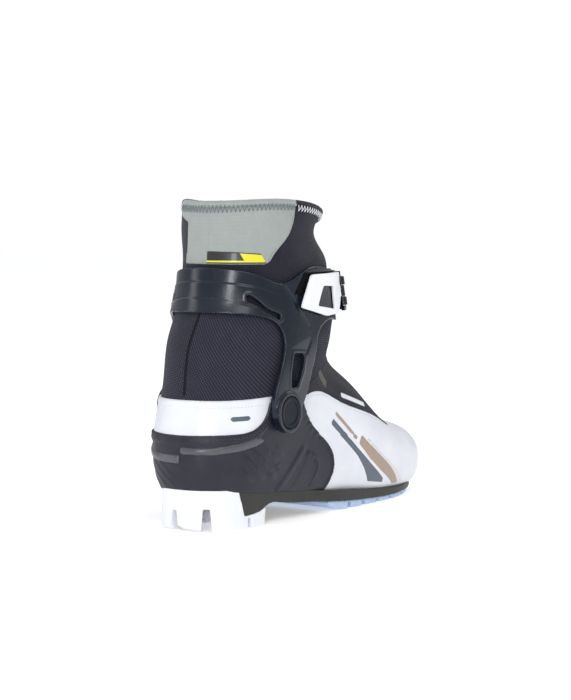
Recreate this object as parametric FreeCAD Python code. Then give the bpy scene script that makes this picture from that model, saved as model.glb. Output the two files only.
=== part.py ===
import FreeCAD, Part
import math
import os

os.makedirs("parts", exist_ok=True)
V = FreeCAD.Vector

# Design frame, mm: x runs from the back of the heel towards the toe, y towards the
# inner (medial) side of this right boot, z up from the floor.  The whole boot is
# moved at export so that the centre of the bottom of its box is the origin.

# ---- driving dimensions -------------------------------------------------------
SHELL_T = 2.2            # outer fabric and moulded panels
LINER_T = 2.6            # padded lining behind them
CUFF_GAP = 1.3           # fabric to cuff
CUFF_T = 3.0             # cuff wall
PIVOT = (64.0, 80.0)     # ankle axis, x and z
EYE_R = 14.4             # round end of each cuff arm
CAP_R = 11.2             # rivet head
RIVET_R = 5.0
RUN_FIT = 0.06
LAT_FACE = 42.4          # flat on the heel counter, outer side
MED_FACE = 48.4          # flat on the heel counter, inner side
WASHER_T = 1.0
EYE_T = 6.8
RECESS_T = 2.9           # depth of the rivet head's recess in the eye
BAR_R = 2.0              # toe bar
BAR_LEN = 42.0
BAR_FREE = 26.0

# ---- stations of the upper: front/top line, back/bottom line, half widths -----
STATIONS = (
    # xa, za, xb, zb, lateral, medial, front power, back power
    (279.5, 29.0, 279.5, 17.0, 4.0, 4.0, 2.0, 2.0),
    (277.5, 39.0, 277.5, 8.0, 18.0, 18.0, 2.1, 2.2),
    (270.0, 48.0, 270.0, 4.0, 30.0, 29.0, 2.2, 2.5),
    (252.0, 55.0, 252.0, 2.0, 41.0, 38.0, 2.3, 2.8),
    (232.0, 60.5, 228.0, 2.0, 45.0, 43.0, 2.2, 3.0),
    (212.0, 73.0, 200.0, 2.0, 46.0, 45.0, 2.0, 3.2),
    (195.0, 89.0, 170.0, 4.0, 45.0, 44.0, 2.0, 3.2),
    (178.0, 101.0, 138.0, 6.0, 43.0, 43.0, 2.1, 3.2),
    (164.0, 109.5, 100.0, 6.0, 40.5, 42.0, 2.3, 3.0),
    (157.0, 118.0, 56.0, 6.0, 39.0, 42.5, 2.5, 2.7),
    (157.0, 127.0, 12.0, 18.0, 39.5, 44.0, 2.6, 2.5),
    (160.0, 138.0, 0.0, 56.0, 41.0, 46.0, 2.8, 2.4),
    (161.0, 149.0, 7.0, 92.0, 43.0, 46.0, 2.8, 2.2),
    (160.0, 160.0, 12.0, 124.0, 43.5, 46.5, 2.6, 2.1),
    (155.0, 174.0, 27.0, 152.0, 43.5, 47.0, 2.3, 2.0),
    (150.5, 188.5, 35.0, 180.0, 43.5, 48.0, 2.2, 2.0),
    (135.0, 202.5, 37.0, 204.0, 43.0, 48.0, 2.1, 2.0),
    (152.0, 219.0, 37.0, 234.0, 44.0, 48.0, 2.0, 2.0),
)
SECTION_POINTS = 48


def signed_power(value, power):
    return math.copysign(abs(value) ** power, value)


def section_points(station, offset):
    """Closed row of points round the upper at one station, moved out by offset."""
    xa, za, xb, zb, lat, med, nf, nb = station
    cx, cz = (xa + xb) / 2, (za + zb) / 2
    half = math.hypot(xa - xb, za - zb) / 2
    ux, uz = (xa - xb) / (2 * half), (za - zb) / (2 * half)
    half = max(half + offset, 1.5)
    points = []
    for i in range(SECTION_POINTS + 1):
        a = 2 * math.pi * i / SECTION_POINTS - math.pi / 2
        blend = 1 / (1 + math.exp(-6 * math.sin(a)))
        power = 2 / (nf * blend + nb * (1 - blend))
        side = max((lat if math.cos(a) >= 0 else med) + offset, 1.5)
        k = half * signed_power(math.sin(a), power)
        y = -side * signed_power(math.cos(a), power)
        if i in (0, SECTION_POINTS):
            y, k = 0.0, -half
        points.append(V(cx + ux * k, y, cz + uz * k))
    return points


def upper_solid(offset, open_top=False, extra=()):
    """Solid through all stations, grown or shrunk; open_top runs past the rim.

    extra holds one more offset for each of the last stations it names.
    """
    stations = [list(s) for s in STATIONS]
    if open_top:
        last = list(stations[-1])
        last[0] += (stations[-1][0] - stations[-2][0]) * 0.6
        last[1] += 14
        last[3] += 14
        stations.append(last)
    rows = []
    for i, s in enumerate(stations):
        pull = offset * max(0.0, 1 - i / 4.0)
        s[0] += pull
        s[2] += pull
        more = extra[min(i, len(extra) - 1)] if extra else 0.0
        rows.append(section_points(s, offset + more))
    skin = Part.BSplineSurface()
    skin.interpolate(rows)
    u0, u1 = skin.bounds()[0:2]
    ends = [Part.Face(Part.Wire([skin.uIso(u).toShape()])) for u in (u0, u1)]
    shell = Part.makeShell([skin.toShape()] + ends)
    shell.sewShape()
    solid = Part.Solid(Part.Shell(shell.Faces))
    if solid.Volume < 0:
        solid.reverse()
    return solid


def side_prism(points, y0=-90.0, y1=90.0, smooth=False):
    """Outline drawn in side view (x, z), run across the boot from y0 to y1."""
    corners = [V(x, y0, z) for x, z in points]
    if smooth:
        curve = Part.BSplineCurve()
        curve.interpolate(Points=corners, PeriodicFlag=True)
        wire = Part.Wire([curve.toShape()])
    else:
        wire = Part.makePolygon(corners + [corners[0]])
    return Part.Face(wire).extrude(V(0, y1 - y0, 0))


def rounded(corners, cut):
    """Outline with its corners rounded off, starting cut away from each."""
    out = []
    for i, (x, z) in enumerate(corners):
        arms = []
        for ox, oz in (corners[i - 1], corners[(i + 1) % len(corners)]):
            reach = min(cut / math.hypot(ox - x, oz - z), 0.48)
            arms.append((x + (ox - x) * reach, z + (oz - z) * reach))
        for k in range(5):
            t = k / 4
            out.append(tuple((1 - t) ** 2 * a + 2 * t * (1 - t) * c + t ** 2 * b
                             for a, c, b in zip(arms[0], (x, z), arms[1])))
    return out


def rod_y(x, z, r, y0, y1):
    return Part.makeCylinder(r, abs(y1 - y0), V(x, min(y0, y1), z), V(0, 1, 0))


def box(x0, x1, y0, y1, z0, z1):
    return Part.makeBox(x1 - x0, y1 - y0, z1 - z0, V(x0, y0, z0))


def smooth_line(points, step=6):
    """Points along a curve through the given (a, b) pairs."""
    curve = Part.BSplineCurve()
    curve.interpolate(Points=[V(a, b, 0) for a, b in points])
    first, last = curve.FirstParameter, curve.LastParameter
    count = step * (len(points) - 1)
    out = []
    for i in range(count + 1):
        p = curve.value(first + (last - first) * i / count)
        out.append((p.x, p.y))
    return out


# ---- sole lines ---------------------------------------------------------------
SOLE_TOP = ((-12, 29.5), (14, 29), (30, 28), (84, 22.5), (136, 16), (170, 12.7), (212, 9.2), (228, 8.6),
            (245, 10), (262, 13), (276, 17), (292, 22))
PLATE_LOW = ((30, 8.5), (38, 9), (46, 9.5), (53, 10.5), (64, 14.5), (80, 13.5), (114, 10), (145, 7),
             (170, 5.2), (195, 4), (228, 3.8), (245, 4.6), (262, 6.6), (276, 10.5), (292, 16))
TREAD_LOW = ((132, 6.5), (140, 2.5), (150, 0.4), (165, 0), (190, 0), (215, 0), (235, 0.4), (252, 1.4),
             (266, 3.4), (276, 6.5), (292, 12))
OUTLINE_LAT = ((1.5, 0), (4, 13), (12, 23), (30, 29.5), (60, 32), (92, 34), (122, 37.5), (152, 40.8),
               (182, 42), (210, 42.5), (234, 40.5), (254, 34), (268, 24.5), (277, 12), (280, 0))
OUTLINE_MED = ((1.5, 0), (4, 13), (12, 23), (30, 29.5), (60, 32), (92, 33.5), (122, 35.5), (152, 38.5),
               (182, 39.5), (210, 41), (234, 39.5), (254, 33), (268, 24), (277, 12), (280, 0))


def sole_block(inset, z0, z1):
    """Sole outline pulled in by inset, between two heights."""
    points = []
    mid = 141.0
    half = 139.0
    for x, y in OUTLINE_LAT[:-1]:
        points.append(V(mid + (x - mid) * (half - inset) / half, -max(0.0, y - inset * min(1, y / 20)), z0))
    for x, y in reversed(OUTLINE_MED[1:]):
        points.append(V(mid + (x - mid) * (half - inset) / half, max(0.0, y - inset * min(1, y / 20)), z0))
    curve = Part.BSplineCurve()
    curve.interpolate(Points=points, PeriodicFlag=True)
    return Part.Face(Part.Wire([curve.toShape()])).extrude(V(0, 0, z1 - z0))


def band_profile(low, high, x0=-20, x1=300):
    """Side outline between two height lines."""
    lower = [(x, z if z > 0.1 else 0.0) for x, z in smooth_line(low) if x0 <= x <= x1]
    upper = [p for p in smooth_line(high) if x0 <= p[0] <= x1]
    return side_prism(lower + upper[::-1])


def raised(line, dz):
    return [(x, z + dz) for x, z in line]


# ---- upper bodies -------------------------------------------------------------
outer = upper_solid(0.0, True)
middle = upper_solid(-SHELL_T, True)
hollow = upper_solid(-SHELL_T - LINER_T, True)

# Side-view borders between the panels of the upper.
VAMP_REAR = ((126, 8), (128, 18), (133, 33), (130, 46), (110, 64), (97, 79), (92, 87))
VAMP_TOP = ((92, 87), (106, 90), (124, 89), (146, 80), (181, 69), (204, 60), (219, 56), (229, 63), (233, 75))
PANEL_FRONT = ((-12, 66), (2, 67), (20, 67.5), (38, 70), (47, 77), (51, 86), (53, 91.5))
SLEEVE_LOW = ((-20, 92), (20, 90.5), (53, 91.5), (92, 95), (128, 107), (150, 114), (190, 120))
SLEEVE_HIGH = ((-20, 138), (20, 140), (66, 149.5), (110, 152), (150, 150), (190, 148))
SHAFT_GAP = 0.7
BOARD_T = 2.8
FOOTBED_T = 5.0
RIM_TOP = ((-10, 224), (20, 225.5), (40, 227), (60, 228.3), (85, 227.3), (110, 224), (135, 218), (155, 211),
           (175, 202))
RIM_T = 5.5

vamp_rear = smooth_line(VAMP_REAR)
vamp_top = smooth_line(VAMP_TOP)
panel_front = smooth_line(PANEL_FRONT)
sleeve_low = smooth_line(SLEEVE_LOW)
sleeve_high = smooth_line(SLEEVE_HIGH)
sole_top = smooth_line(SOLE_TOP)


def above(line, top=260.0):
    return side_prism(list(line) + [(line[-1][0], top), (line[0][0], top)])


vamp_zone = side_prism(vamp_rear + vamp_top[1:] + [(300, 75), (300, 4)])
counter_zone = side_prism([(-30, 4)] + vamp_rear + [(92, 95)]
                          + [p for p in sleeve_low if 53 <= p[0] < 92][::-1] + panel_front[::-1] + [(-30, 66)])
panel_zone = side_prism(panel_front + [p for p in sleeve_low if p[0] < 53][::-1])
cover_zone = side_prism([(92, 95)] + vamp_top + [(260, 75), (260, 130), (190, 120)]
                        + [p for p in sleeve_low if 92 < p[0] < 190][::-1])
sleeve_zone = side_prism(sleeve_low + raised(sleeve_high, -SHAFT_GAP)[::-1])
shaft_zone = side_prism(sleeve_high + [(190, 260), (-20, 260)])
foot_zone = side_prism([(-30, 4), (300, 4), (300, 130), (190, 120)] + sleeve_low[::-1])
rim_line = smooth_line(RIM_TOP)
above_sole = above(sole_top)
above_board = above(raised(sole_top, BOARD_T))
above_footbed = above(raised(sole_top, BOARD_T + FOOTBED_T))


def skin_panel(zone):
    return outer.common(zone).common(above_sole).cut(middle)


vamp_shell = skin_panel(vamp_zone)
heel_counter = skin_panel(counter_zone)
heel_panel = skin_panel(panel_zone)
instep_cover = skin_panel(cover_zone)
ankle_sleeve = outer.common(sleeve_zone).cut(hollow)
rim_band = side_prism(raised(rim_line, -RIM_T) + rim_line[::-1])
under_rim = side_prism(raised(rim_line, -RIM_T) + [(175, 0), (300, 0), (300, -20), (-20, -20)])
shaft_shell = outer.common(shaft_zone).common(under_rim).cut(middle)
shaft_lining = middle.common(shaft_zone).common(under_rim).cut(hollow)
collar_binding = outer.common(rim_band).cut(hollow)

lining_wall = middle.common(foot_zone).common(above_board).cut(hollow)
toe_half = box(240, 300, -60, 60, 0, 120)
heel_half = side_prism([(-30, 0), (62, 0), (56, 50), (34, 74), (-30, 80)])
toe_puff = lining_wall.common(toe_half)
heel_stiffener = lining_wall.common(heel_half)
foot_lining = lining_wall.cut(toe_half).cut(heel_half)
lasting_board = middle.common(above_sole).cut(above_board)
footbed = hollow.common(above_board).cut(above_footbed)

# ---- sole ---------------------------------------------------------------------
HEEL_FRONT = ((30.0, 40.0), (30.5, 28.0), (36.6, 9.0), (46.0, 9.5), (53.0, 10.5), (60.0, 12.8), (58.5, 0.0))
LUG_GAP = 8.0
SHANK_T = 1.2

sole_blank = sole_block(0.0, -4.0, 45.0)
plate_band = band_profile(PLATE_LOW, SOLE_TOP)
under_top = side_prism(sole_top + [(292, -10), (-12, -10)])
heel_zone = side_prism([(-30, 40)] + list(HEEL_FRONT) + [(58, -5), (-30, -5)])
heel_core = sole_block(6.0, 20.0, 45.0).common(under_top).common(box(-20, 60, -60, 60, 23.5, 40))
outsole_plate = sole_blank.common(plate_band).cut(heel_zone)
plate_tongue = heel_core.common(side_prism([(-30, 40)] + list(HEEL_FRONT[:3]) + [(30.5, 20), (-30, 20)]))
outsole_plate = outsole_plate.fuse(plate_tongue.common(box(5, 60, -24, 24, 20, 45))).removeSplitter()
heel_floor = side_prism([(-20, 9), (2, 4.5), (7, 1.4), (13, 0), (64, 0), (64, 45), (-20, 45)])
heel_tread = sole_blank.common(under_top).common(heel_zone).common(heel_floor).cut(outsole_plate)


def lug_gap(px, py, top, width):
    """Tapered gap from the middle of the heel out through the rim at (px, py)."""
    length = 60.0
    ang = math.atan2(py, px - 34.0)
    half = width / 2
    section = [V(8, -half, -3), V(8, half, -3), V(8, half * 0.6, top), V(8, -half * 0.6, top)]
    gap = Part.Face(Part.makePolygon(section + [section[0]])).extrude(V(length, 0, 0))
    gap.rotate(V(0, 0, 0), V(0, 0, 1), math.degrees(ang))
    gap.translate(V(34, 0, 0))
    return gap


for rim_x, rim_y, gap_top in ((3, 5, 15), (7, -19, 16.5), (9, 22, 16.5)):
    heel_tread = heel_tread.cut(lug_gap(rim_x, rim_y, gap_top, LUG_GAP))
heel_tread = heel_tread.cut(box(22, 66, -9, 9, -3, 7)).cut(box(40, 44, -60, 60, -3, 7.2))

tread_band = band_profile(TREAD_LOW, PLATE_LOW, 132, 292)
forefoot_tread = sole_block(1.6, -4.0, 45.0).common(tread_band)
for k in range(6):
    x = 156 + k * 19.0
    for side in (-1, 1):
        cut = box(x, x + 5, 20, 60, -3, 9) if side > 0 else box(x, x + 5, -60, -20, -3, 9)
        forefoot_tread = forefoot_tread.cut(cut.common(side_prism(raised(smooth_line(PLATE_LOW), -1.4)
                                                                  + [(292, -9), (30, -9)])))
GROOVE_Y = 12.0
GROOVE_W = 5.0
GROOVE_D = 2.6
for side in (-1, 1):
    y0 = side * GROOVE_Y - GROOVE_W / 2
    groove = box(130, 251, y0, y0 + GROOVE_W, -3, 1)
    groove = groove.fuse(box(130, 251, y0, y0 + GROOVE_W, 0, GROOVE_D))
    forefoot_tread = forefoot_tread.cut(groove)

# Toe recess for the binding's jaw, and the bar across it.
BAR_X = 261.0
BAR_Z = 5.2
jaw_recess = box(250, 273, -BAR_FREE / 2, BAR_FREE / 2, -4, 10.8)
forefoot_tread = forefoot_tread.cut(jaw_recess)
outsole_plate = outsole_plate.cut(jaw_recess)
toe_bar = rod_y(BAR_X, BAR_Z, BAR_R, -BAR_LEN / 2, BAR_LEN / 2)
forefoot_tread = forefoot_tread.cut(toe_bar)
outsole_plate = outsole_plate.cut(toe_bar)
shank_plate = band_profile(raised(SOLE_TOP, -SHANK_T), SOLE_TOP).common(box(36, 152, -13, 13, 0, 40))
outsole_plate = outsole_plate.cut(shank_plate)

# ---- ankle pivots -------------------------------------------------------------
px, pz = PIVOT
SIDES = ((-1, LAT_FACE), (1, MED_FACE))
rivet_parts = []
washer_parts = []
eye_parts = []
eye_cut = []
eye_room = []
for sign, face in SIDES:
    def at(d):
        return sign * (face + d)

    boss = rod_y(px, pz, 13.4, sign * (face - 6), at(0)).cut(middle)
    heel_counter = heel_counter.fuse(boss)
    ankle_sleeve = ankle_sleeve.cut(boss)
    pin = rod_y(px, pz, RIVET_R, at(-6.0), at(WASHER_T + 0.35 + EYE_T - RECESS_T + 0.4))
    head = rod_y(px, pz, CAP_R, at(WASHER_T + 0.35 + EYE_T - RECESS_T + 0.35), at(WASHER_T + EYE_T + 0.25))
    head = head.makeFillet(0.6, [e for e in head.Edges if abs(e.Length - 2 * math.pi * CAP_R) < 0.1
                                 and abs(abs(e.BoundBox.Center.y) - (face + WASHER_T + EYE_T + 0.25)) < 0.1])
    dish = rod_y(px, pz, CAP_R - 2.4, at(WASHER_T + EYE_T - 0.25), at(WASHER_T + EYE_T + 2))
    rivet_parts.append(pin.fuse(head.cut(dish)))
    washer_parts.append(rod_y(px, pz, 11.6, at(0), at(WASHER_T)).cut(rod_y(px, pz, RIVET_R, at(-9), at(9))))
    eye_parts.append(rod_y(px, pz, EYE_R, at(WASHER_T + 0.35), at(WASHER_T + 0.35 + EYE_T)))
    eye_cut.append(rod_y(px, pz, RIVET_R + RUN_FIT, at(-9), at(20)))
    eye_cut.append(rod_y(px, pz, CAP_R + 0.5, at(WASHER_T + 0.35 + EYE_T - RECESS_T), at(20)))
    eye_room.append(rod_y(px, pz, 16.6, 0, at(WASHER_T + 0.35)))
    bore = rod_y(px, pz, RIVET_R, sign * (face - 12), at(9))
    heel_counter = heel_counter.cut(bore)
    foot_lining = foot_lining.cut(bore)
pivot_rivets = Part.Compound(rivet_parts)
pivot_washers = Part.Compound(washer_parts)

# ---- cuff ---------------------------------------------------------------------
CUFF_IN = (4.0,) * 11 + (4.0, 3.6, 2.0, CUFF_GAP)
CUFF_OUT = (8.0,) * 11 + (7.8, 7.0, 5.2, CUFF_GAP + CUFF_T)
CUFF_REAR = ((-20, 151), (22, 150), (34, 149), (48, 146.5), (58, 140), (61.5, 132), (60, 120), (54, 104),
             (50, 92), (50.5, 80))
CUFF_FRONT = ((77.5, 79), (85.5, 87), (89.5, 96), (94, 109), (97.5, 121), (101, 133), (109, 139.5), (129, 141))
CUFF_TOP = ((129, 178.5), (112, 179.5), (92, 180), (78, 174), (63, 169.5), (48, 176), (32, 180.5),
            (22, 182), (-20, 183))
SLOT_REAR = ((39.8, 158.6), (41.6, 162.4), (45.2, 160.2), (49.6, 155), (54.6, 150.9), (60.5, 147),
             (58.9, 144.6), (53, 147.4), (47.8, 150.6), (42.4, 155.8))
SLOT_ARM = ((69.6, 121), (82.6, 120), (80.8, 108.4), (75.2, 96.6), (66.2, 97), (66.4, 108))
ARM_CHANNEL = ((58, 148), (61, 143), (66.5, 133), (68, 120), (84, 118), (90.5, 127), (91, 134.5), (85, 138.5),
               (77, 137), (71, 136), (64, 146), (61, 148.5))
CHANNEL_FLOOR = 6.2      # offset of the channel's floor; the arm reaches 8

cuff_in = upper_solid(0.0, True, CUFF_IN)
cuff_out = upper_solid(0.0, True, CUFF_OUT)
cuff_profile = side_prism(smooth_line(CUFF_REAR) + [(60, 66), (70, 66)] + smooth_line(CUFF_FRONT)
                          + smooth_line(CUFF_TOP))
cuff_shell = cuff_out.common(cuff_profile).cut(cuff_in)
cuff_shell = cuff_shell.cut(side_prism(SLOT_REAR, smooth=True)).cut(side_prism(rounded(SLOT_ARM, 3.0)))
channel = side_prism(rounded(ARM_CHANNEL, 2.5), -90, 90).cut(upper_solid(CHANNEL_FLOOR, True))
cuff_shell = cuff_shell.cut(channel)
for room in eye_room:
    cuff_shell = cuff_shell.cut(room)
cuff_shell = cuff_shell.cut(box(0, 140, -40, 40, 60, 74))
cuff_shell = cuff_shell.fuse(eye_parts)
for tool in eye_cut:
    cuff_shell = cuff_shell.cut(tool)

# ---- trims on the upper -------------------------------------------------------
TRIM_T = 0.5
trim_skin = upper_solid(TRIM_T, True)
SLATE_WEDGE = ((133.4, 69), (130.6, 65.3), (144.9, 52.9), (160.9, 39.6), (170, 29.6), (178.5, 18.5),
               (198.5, 15.5), (197.6, 18.6), (179, 31.5), (160.9, 45.5), (146.4, 57.7))
BRONZE_BAND = ((165, 51.5), (163, 47.5), (175, 36.1), (189.2, 24.7), (212, 13), (227, 12.5), (211.3, 25.1),
               (192.5, 38.7), (175.1, 50.1))
slate_stripe = trim_skin.common(side_prism(SLATE_WEDGE, -90, 0)).cut(outer)
tan_stripe = trim_skin.common(side_prism(BRONZE_BAND, -90, 0)).cut(outer)
PANEL_T = 0.9
panel_skin = upper_solid(PANEL_T, True)
COLLAR_FRONT = ((55, 182), (58.5, 184), (62, 189), (70, 199), (77, 209), (80, 220.5), (80.5, 232))
collar_edge = smooth_line(COLLAR_FRONT)
COLLAR_LOW = 182.8
lateral_half = side_prism([(-20, COLLAR_LOW), (56.2, COLLAR_LOW)] + [p for p in collar_edge if p[1] > COLLAR_LOW + 0.3]
                          + [(-20, 232)], -90, 0)
medial_half = side_prism([(-20, COLLAR_LOW), (42.3, COLLAR_LOW), (42.6, 212), (50, 216), (50, 232), (-20, 232)],
                         0, 90)
collar_panel = panel_skin.common(lateral_half.fuse(medial_half)).common(under_rim).cut(upper_solid(0.0, True))
patch_skin = upper_solid(PANEL_T + 0.7, True)
label_zone = side_prism([(-20, 183.6), (57.3, 183.4), (53.9, 190.1), (36.4, 191.8), (-20, 191.9)], -90, 0.5)
label_patch = patch_skin.common(label_zone).cut(panel_skin)
tape_zone = side_prism([(117, 103), (121, 106), (133, 96), (130, 91)], -90, -5)
instep_tape = trim_skin.common(tape_zone).cut(outer)

# ---- closing strap ------------------------------------------------------------
STRAP_IN = 5.1
STRAP_OUT = 6.9
STRAP_GAP = 0.35
TAB_IN = 7.3
TAB_OUT = 9.5
strap_in = upper_solid(STRAP_IN, True)
strap_out = upper_solid(STRAP_OUT, True)
tab_in = upper_solid(TAB_IN, True)
tab_out = upper_solid(TAB_OUT, True)
STRAP_BAND = ((98, 149), (150, 147), (175, 147), (175, 177), (98, 175))
TAB_FACE = ((87.5, 175.3), (134, 175.8), (133.8, 160), (127, 146.4), (108, 145.3), (75.7, 152.3))
TAB_WINDOW = ((102.2, 166.9), (119, 166.2), (121, 149.6), (94.8, 153))
HINGE_X = 101.0
HINGE_Y = 55.4
HINGE_Z = (150.0, 174.0)
STRAP_TURNS = (0, 8, 16.7, 25)      # degrees of its swing at which the strap is cleared from the cuff
hook_pad = strap_in.common(side_prism([(73, 160), (85, 176.5), (126, 176.5), (126, 147), (81, 150)], -90, 0))
hook_pad = hook_pad.cut(upper_solid(CUFF_GAP + CUFF_T + 0.001, True))
hook_pad = hook_pad.common(upper_solid(STRAP_IN - 0.4, True)).cut(cuff_out)
strap_front = strap_out.cut(strap_in)
cuff_strap = strap_front.common(side_prism(STRAP_BAND, 0, 90)).cut(box(0, HINGE_X + 3, 0, 90, 100, 200))
cuff_strap = cuff_strap.fuse(strap_front.common(side_prism([(95, 150), (175, 147), (175, 177), (95, 175)],
                                                           -90, 0)))
cuff_room = upper_solid(STRAP_GAP, True, CUFF_OUT).common(box(-20, 129.6, -90, 90, 60, 200))
for turn in STRAP_TURNS:
    swept = cuff_room.copy()
    swept.rotate(V(HINGE_X, HINGE_Y, 0), V(0, 0, 1), -turn)
    cuff_strap = cuff_strap.cut(swept)
strap_tab = tab_out.common(side_prism(rounded(TAB_FACE, 2.5), -90, -8)).cut(tab_in)
strap_tab = strap_tab.cut(side_prism(rounded(TAB_WINDOW, 1.8), -90, -8))

# Hinge that holds the strap on the inner wing of the cuff.
PIN_R = 1.25
KNUCKLE_R = 2.6
KNUCKLE_Z = (156.0, 168.0)


def rod_z(x, y, r, z0, z1):
    return Part.makeCylinder(r, z1 - z0, V(x, y, z0))


anchor_zone = side_prism([(84, 152), (98.4, 151), (98.4, 173), (86, 172)], 0, 90)
strap_anchor = strap_out.common(anchor_zone).cut(cuff_out)
for z0, z1 in ((HINGE_Z[0], KNUCKLE_Z[0] - 0.4), (KNUCKLE_Z[1] + 0.4, HINGE_Z[1])):
    strap_anchor = strap_anchor.fuse(rod_z(HINGE_X, HINGE_Y, KNUCKLE_R, z0, z1))
    strap_anchor = strap_anchor.fuse(box(96.5, HINGE_X, 53.2, 55.8, z0, z1).cut(cuff_out))
pin_hole = rod_z(HINGE_X, HINGE_Y, PIN_R, 140, 190)
strap_anchor = strap_anchor.cut(pin_hole)
strap_pin = rod_z(HINGE_X, HINGE_Y, PIN_R, HINGE_Z[0] - 0.6, HINGE_Z[1] + 0.6)
knuckle = rod_z(HINGE_X, HINGE_Y, KNUCKLE_R, KNUCKLE_Z[0], KNUCKLE_Z[1])
knuckle = knuckle.fuse(box(HINGE_X, HINGE_X + 8, 53.4, 55.1, KNUCKLE_Z[0], KNUCKLE_Z[1]))
cuff_strap = cuff_strap.fuse(knuckle).cut(rod_z(HINGE_X, HINGE_Y, PIN_R + RUN_FIT, 140, 190))

# Pin at the front edge of the white tab, held by a keeper on the strap.
TAB_AXIS_AT = V(138.0, -45.2, 162.0)
TAB_TILT = 8.9           # lean of the pin with the face of the strap, degrees
TAB_PIN_R = 1.0
TAB_KNUCKLE_R = 1.9
TAB_LUGS = ((-10.5, -4.3), (4.3, 10.5))
TAB_MIDDLE = (-4.0, 4.0)


def on_tab_axis(shape):
    """Place a shape drawn round the z axis on the leaning pin of the tab."""
    shape.rotate(V(0, 0, 0), V(1, 0, 0), -TAB_TILT)
    shape.translate(TAB_AXIS_AT)
    return shape


tab_keeper = tab_out.common(side_prism([(140.2, 147.5), (148, 147.5), (146, 176), (140.2, 176)], -90, -8))
strap_tab = strap_tab.fuse(on_tab_axis(box(-6.0, 0, -1.9, 1.4, *TAB_MIDDLE)).cut(tab_in))
strap_tab = strap_tab.fuse(on_tab_axis(rod_z(0, 0, TAB_KNUCKLE_R, *TAB_MIDDLE)))
for (z0, z1), room in zip(TAB_LUGS, ((-40, -4.0), (4.0, 40))):
    tab_keeper = tab_keeper.fuse(on_tab_axis(rod_z(0, 0, TAB_KNUCKLE_R, z0, z1)))
    tab_keeper = tab_keeper.fuse(on_tab_axis(box(0, 4.0, -0.8, 3.0, z0, z1)))
    strap_tab = strap_tab.cut(on_tab_axis(rod_z(0, 0, TAB_KNUCKLE_R + 0.5, *room)))
tab_keeper = tab_keeper.cut(on_tab_axis(rod_z(0, 0, TAB_PIN_R, -14, 14))).cut(strap_out)
strap_tab = strap_tab.cut(on_tab_axis(rod_z(0, 0, TAB_PIN_R + RUN_FIT, -14, 14)))
tab_pin = on_tab_axis(rod_z(0, 0, TAB_PIN_R, TAB_LUGS[0][0] - 0.4, TAB_LUGS[1][1] + 0.4))

# ---- instep zip ---------------------------------------------------------------
TAPE_T = 0.9
CHAIN_T = 1.8
ZIP_Y = 12.0
ZIP_TOP_X = 169.0
ZIP_LOW_X = 205.0
SLIDER_L = 11.0
SLIDER_W = 8.6
SLIDER_H = 3.4
SLIDER_RISE = 4.5
tape_skin = upper_solid(TAPE_T, True)
chain_skin = upper_solid(CHAIN_T, True)
zip_side = [(160, 98), (172, 125), (222, 85), (214, 50)]
zip_tape = tape_skin.common(side_prism(zip_side, ZIP_Y - 6, ZIP_Y + 6)).cut(outer).common(cover_zone)
zip_chain = chain_skin.common(side_prism(zip_side, ZIP_Y - 2.2, ZIP_Y + 2.2)).cut(tape_skin).common(cover_zone)


def skin_height(x, y):
    """Height of the top of the upper over a point of the floor."""
    line = Part.makeLine(V(x, y, 45), V(x, y, 150))
    return line.common(outer).BoundBox.ZMax


low = (ZIP_LOW_X, skin_height(ZIP_LOW_X, ZIP_Y))
top = (ZIP_TOP_X, skin_height(ZIP_TOP_X, ZIP_Y))
zip_run = math.hypot(low[0] - top[0], low[1] - top[1])
zip_slope = math.atan2(top[1] - low[1], low[0] - top[0])


def on_zip(shape):
    """Place a shape drawn along +x at the top end of the zip's run."""
    shape.rotate(V(0, 0, 0), V(0, 1, 0), math.degrees(zip_slope))
    shape.translate(V(top[0], ZIP_Y, top[1]))
    return shape


half_l, half_w = SLIDER_L / 2, SLIDER_W / 2
plan = [V(-half_l, -half_w * 0.6, SLIDER_RISE), V(half_l * 0.3, -half_w, SLIDER_RISE),
        V(half_l, -half_w * 0.8, SLIDER_RISE), V(half_l, half_w * 0.8, SLIDER_RISE),
        V(half_l * 0.3, half_w, SLIDER_RISE), V(-half_l, half_w * 0.6, SLIDER_RISE)]
slider = Part.Face(Part.makePolygon(plan + [plan[0]])).extrude(V(0, 0, SLIDER_H))
bridge = box(-3.6, 3.6, -1.3, 1.3, SLIDER_RISE + SLIDER_H - 0.2, SLIDER_RISE + SLIDER_H + 3.0)
bridge = bridge.cut(box(-2.2, 2.2, -2, 2, SLIDER_RISE + SLIDER_H, SLIDER_RISE + SLIDER_H + 1.8))
zip_slider = on_zip(slider.fuse(bridge))
pull = box(-1.0, 20.0, -3.4, 3.4, SLIDER_RISE + SLIDER_H + 0.35, SLIDER_RISE + SLIDER_H + 1.55)
pull = pull.cut(box(1.8, 4.0, -1.8, 1.8, 0, 20)).cut(Part.makeCylinder(1.7, 20, V(16.5, 0, 0)))
zip_pull = on_zip(pull)

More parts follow.
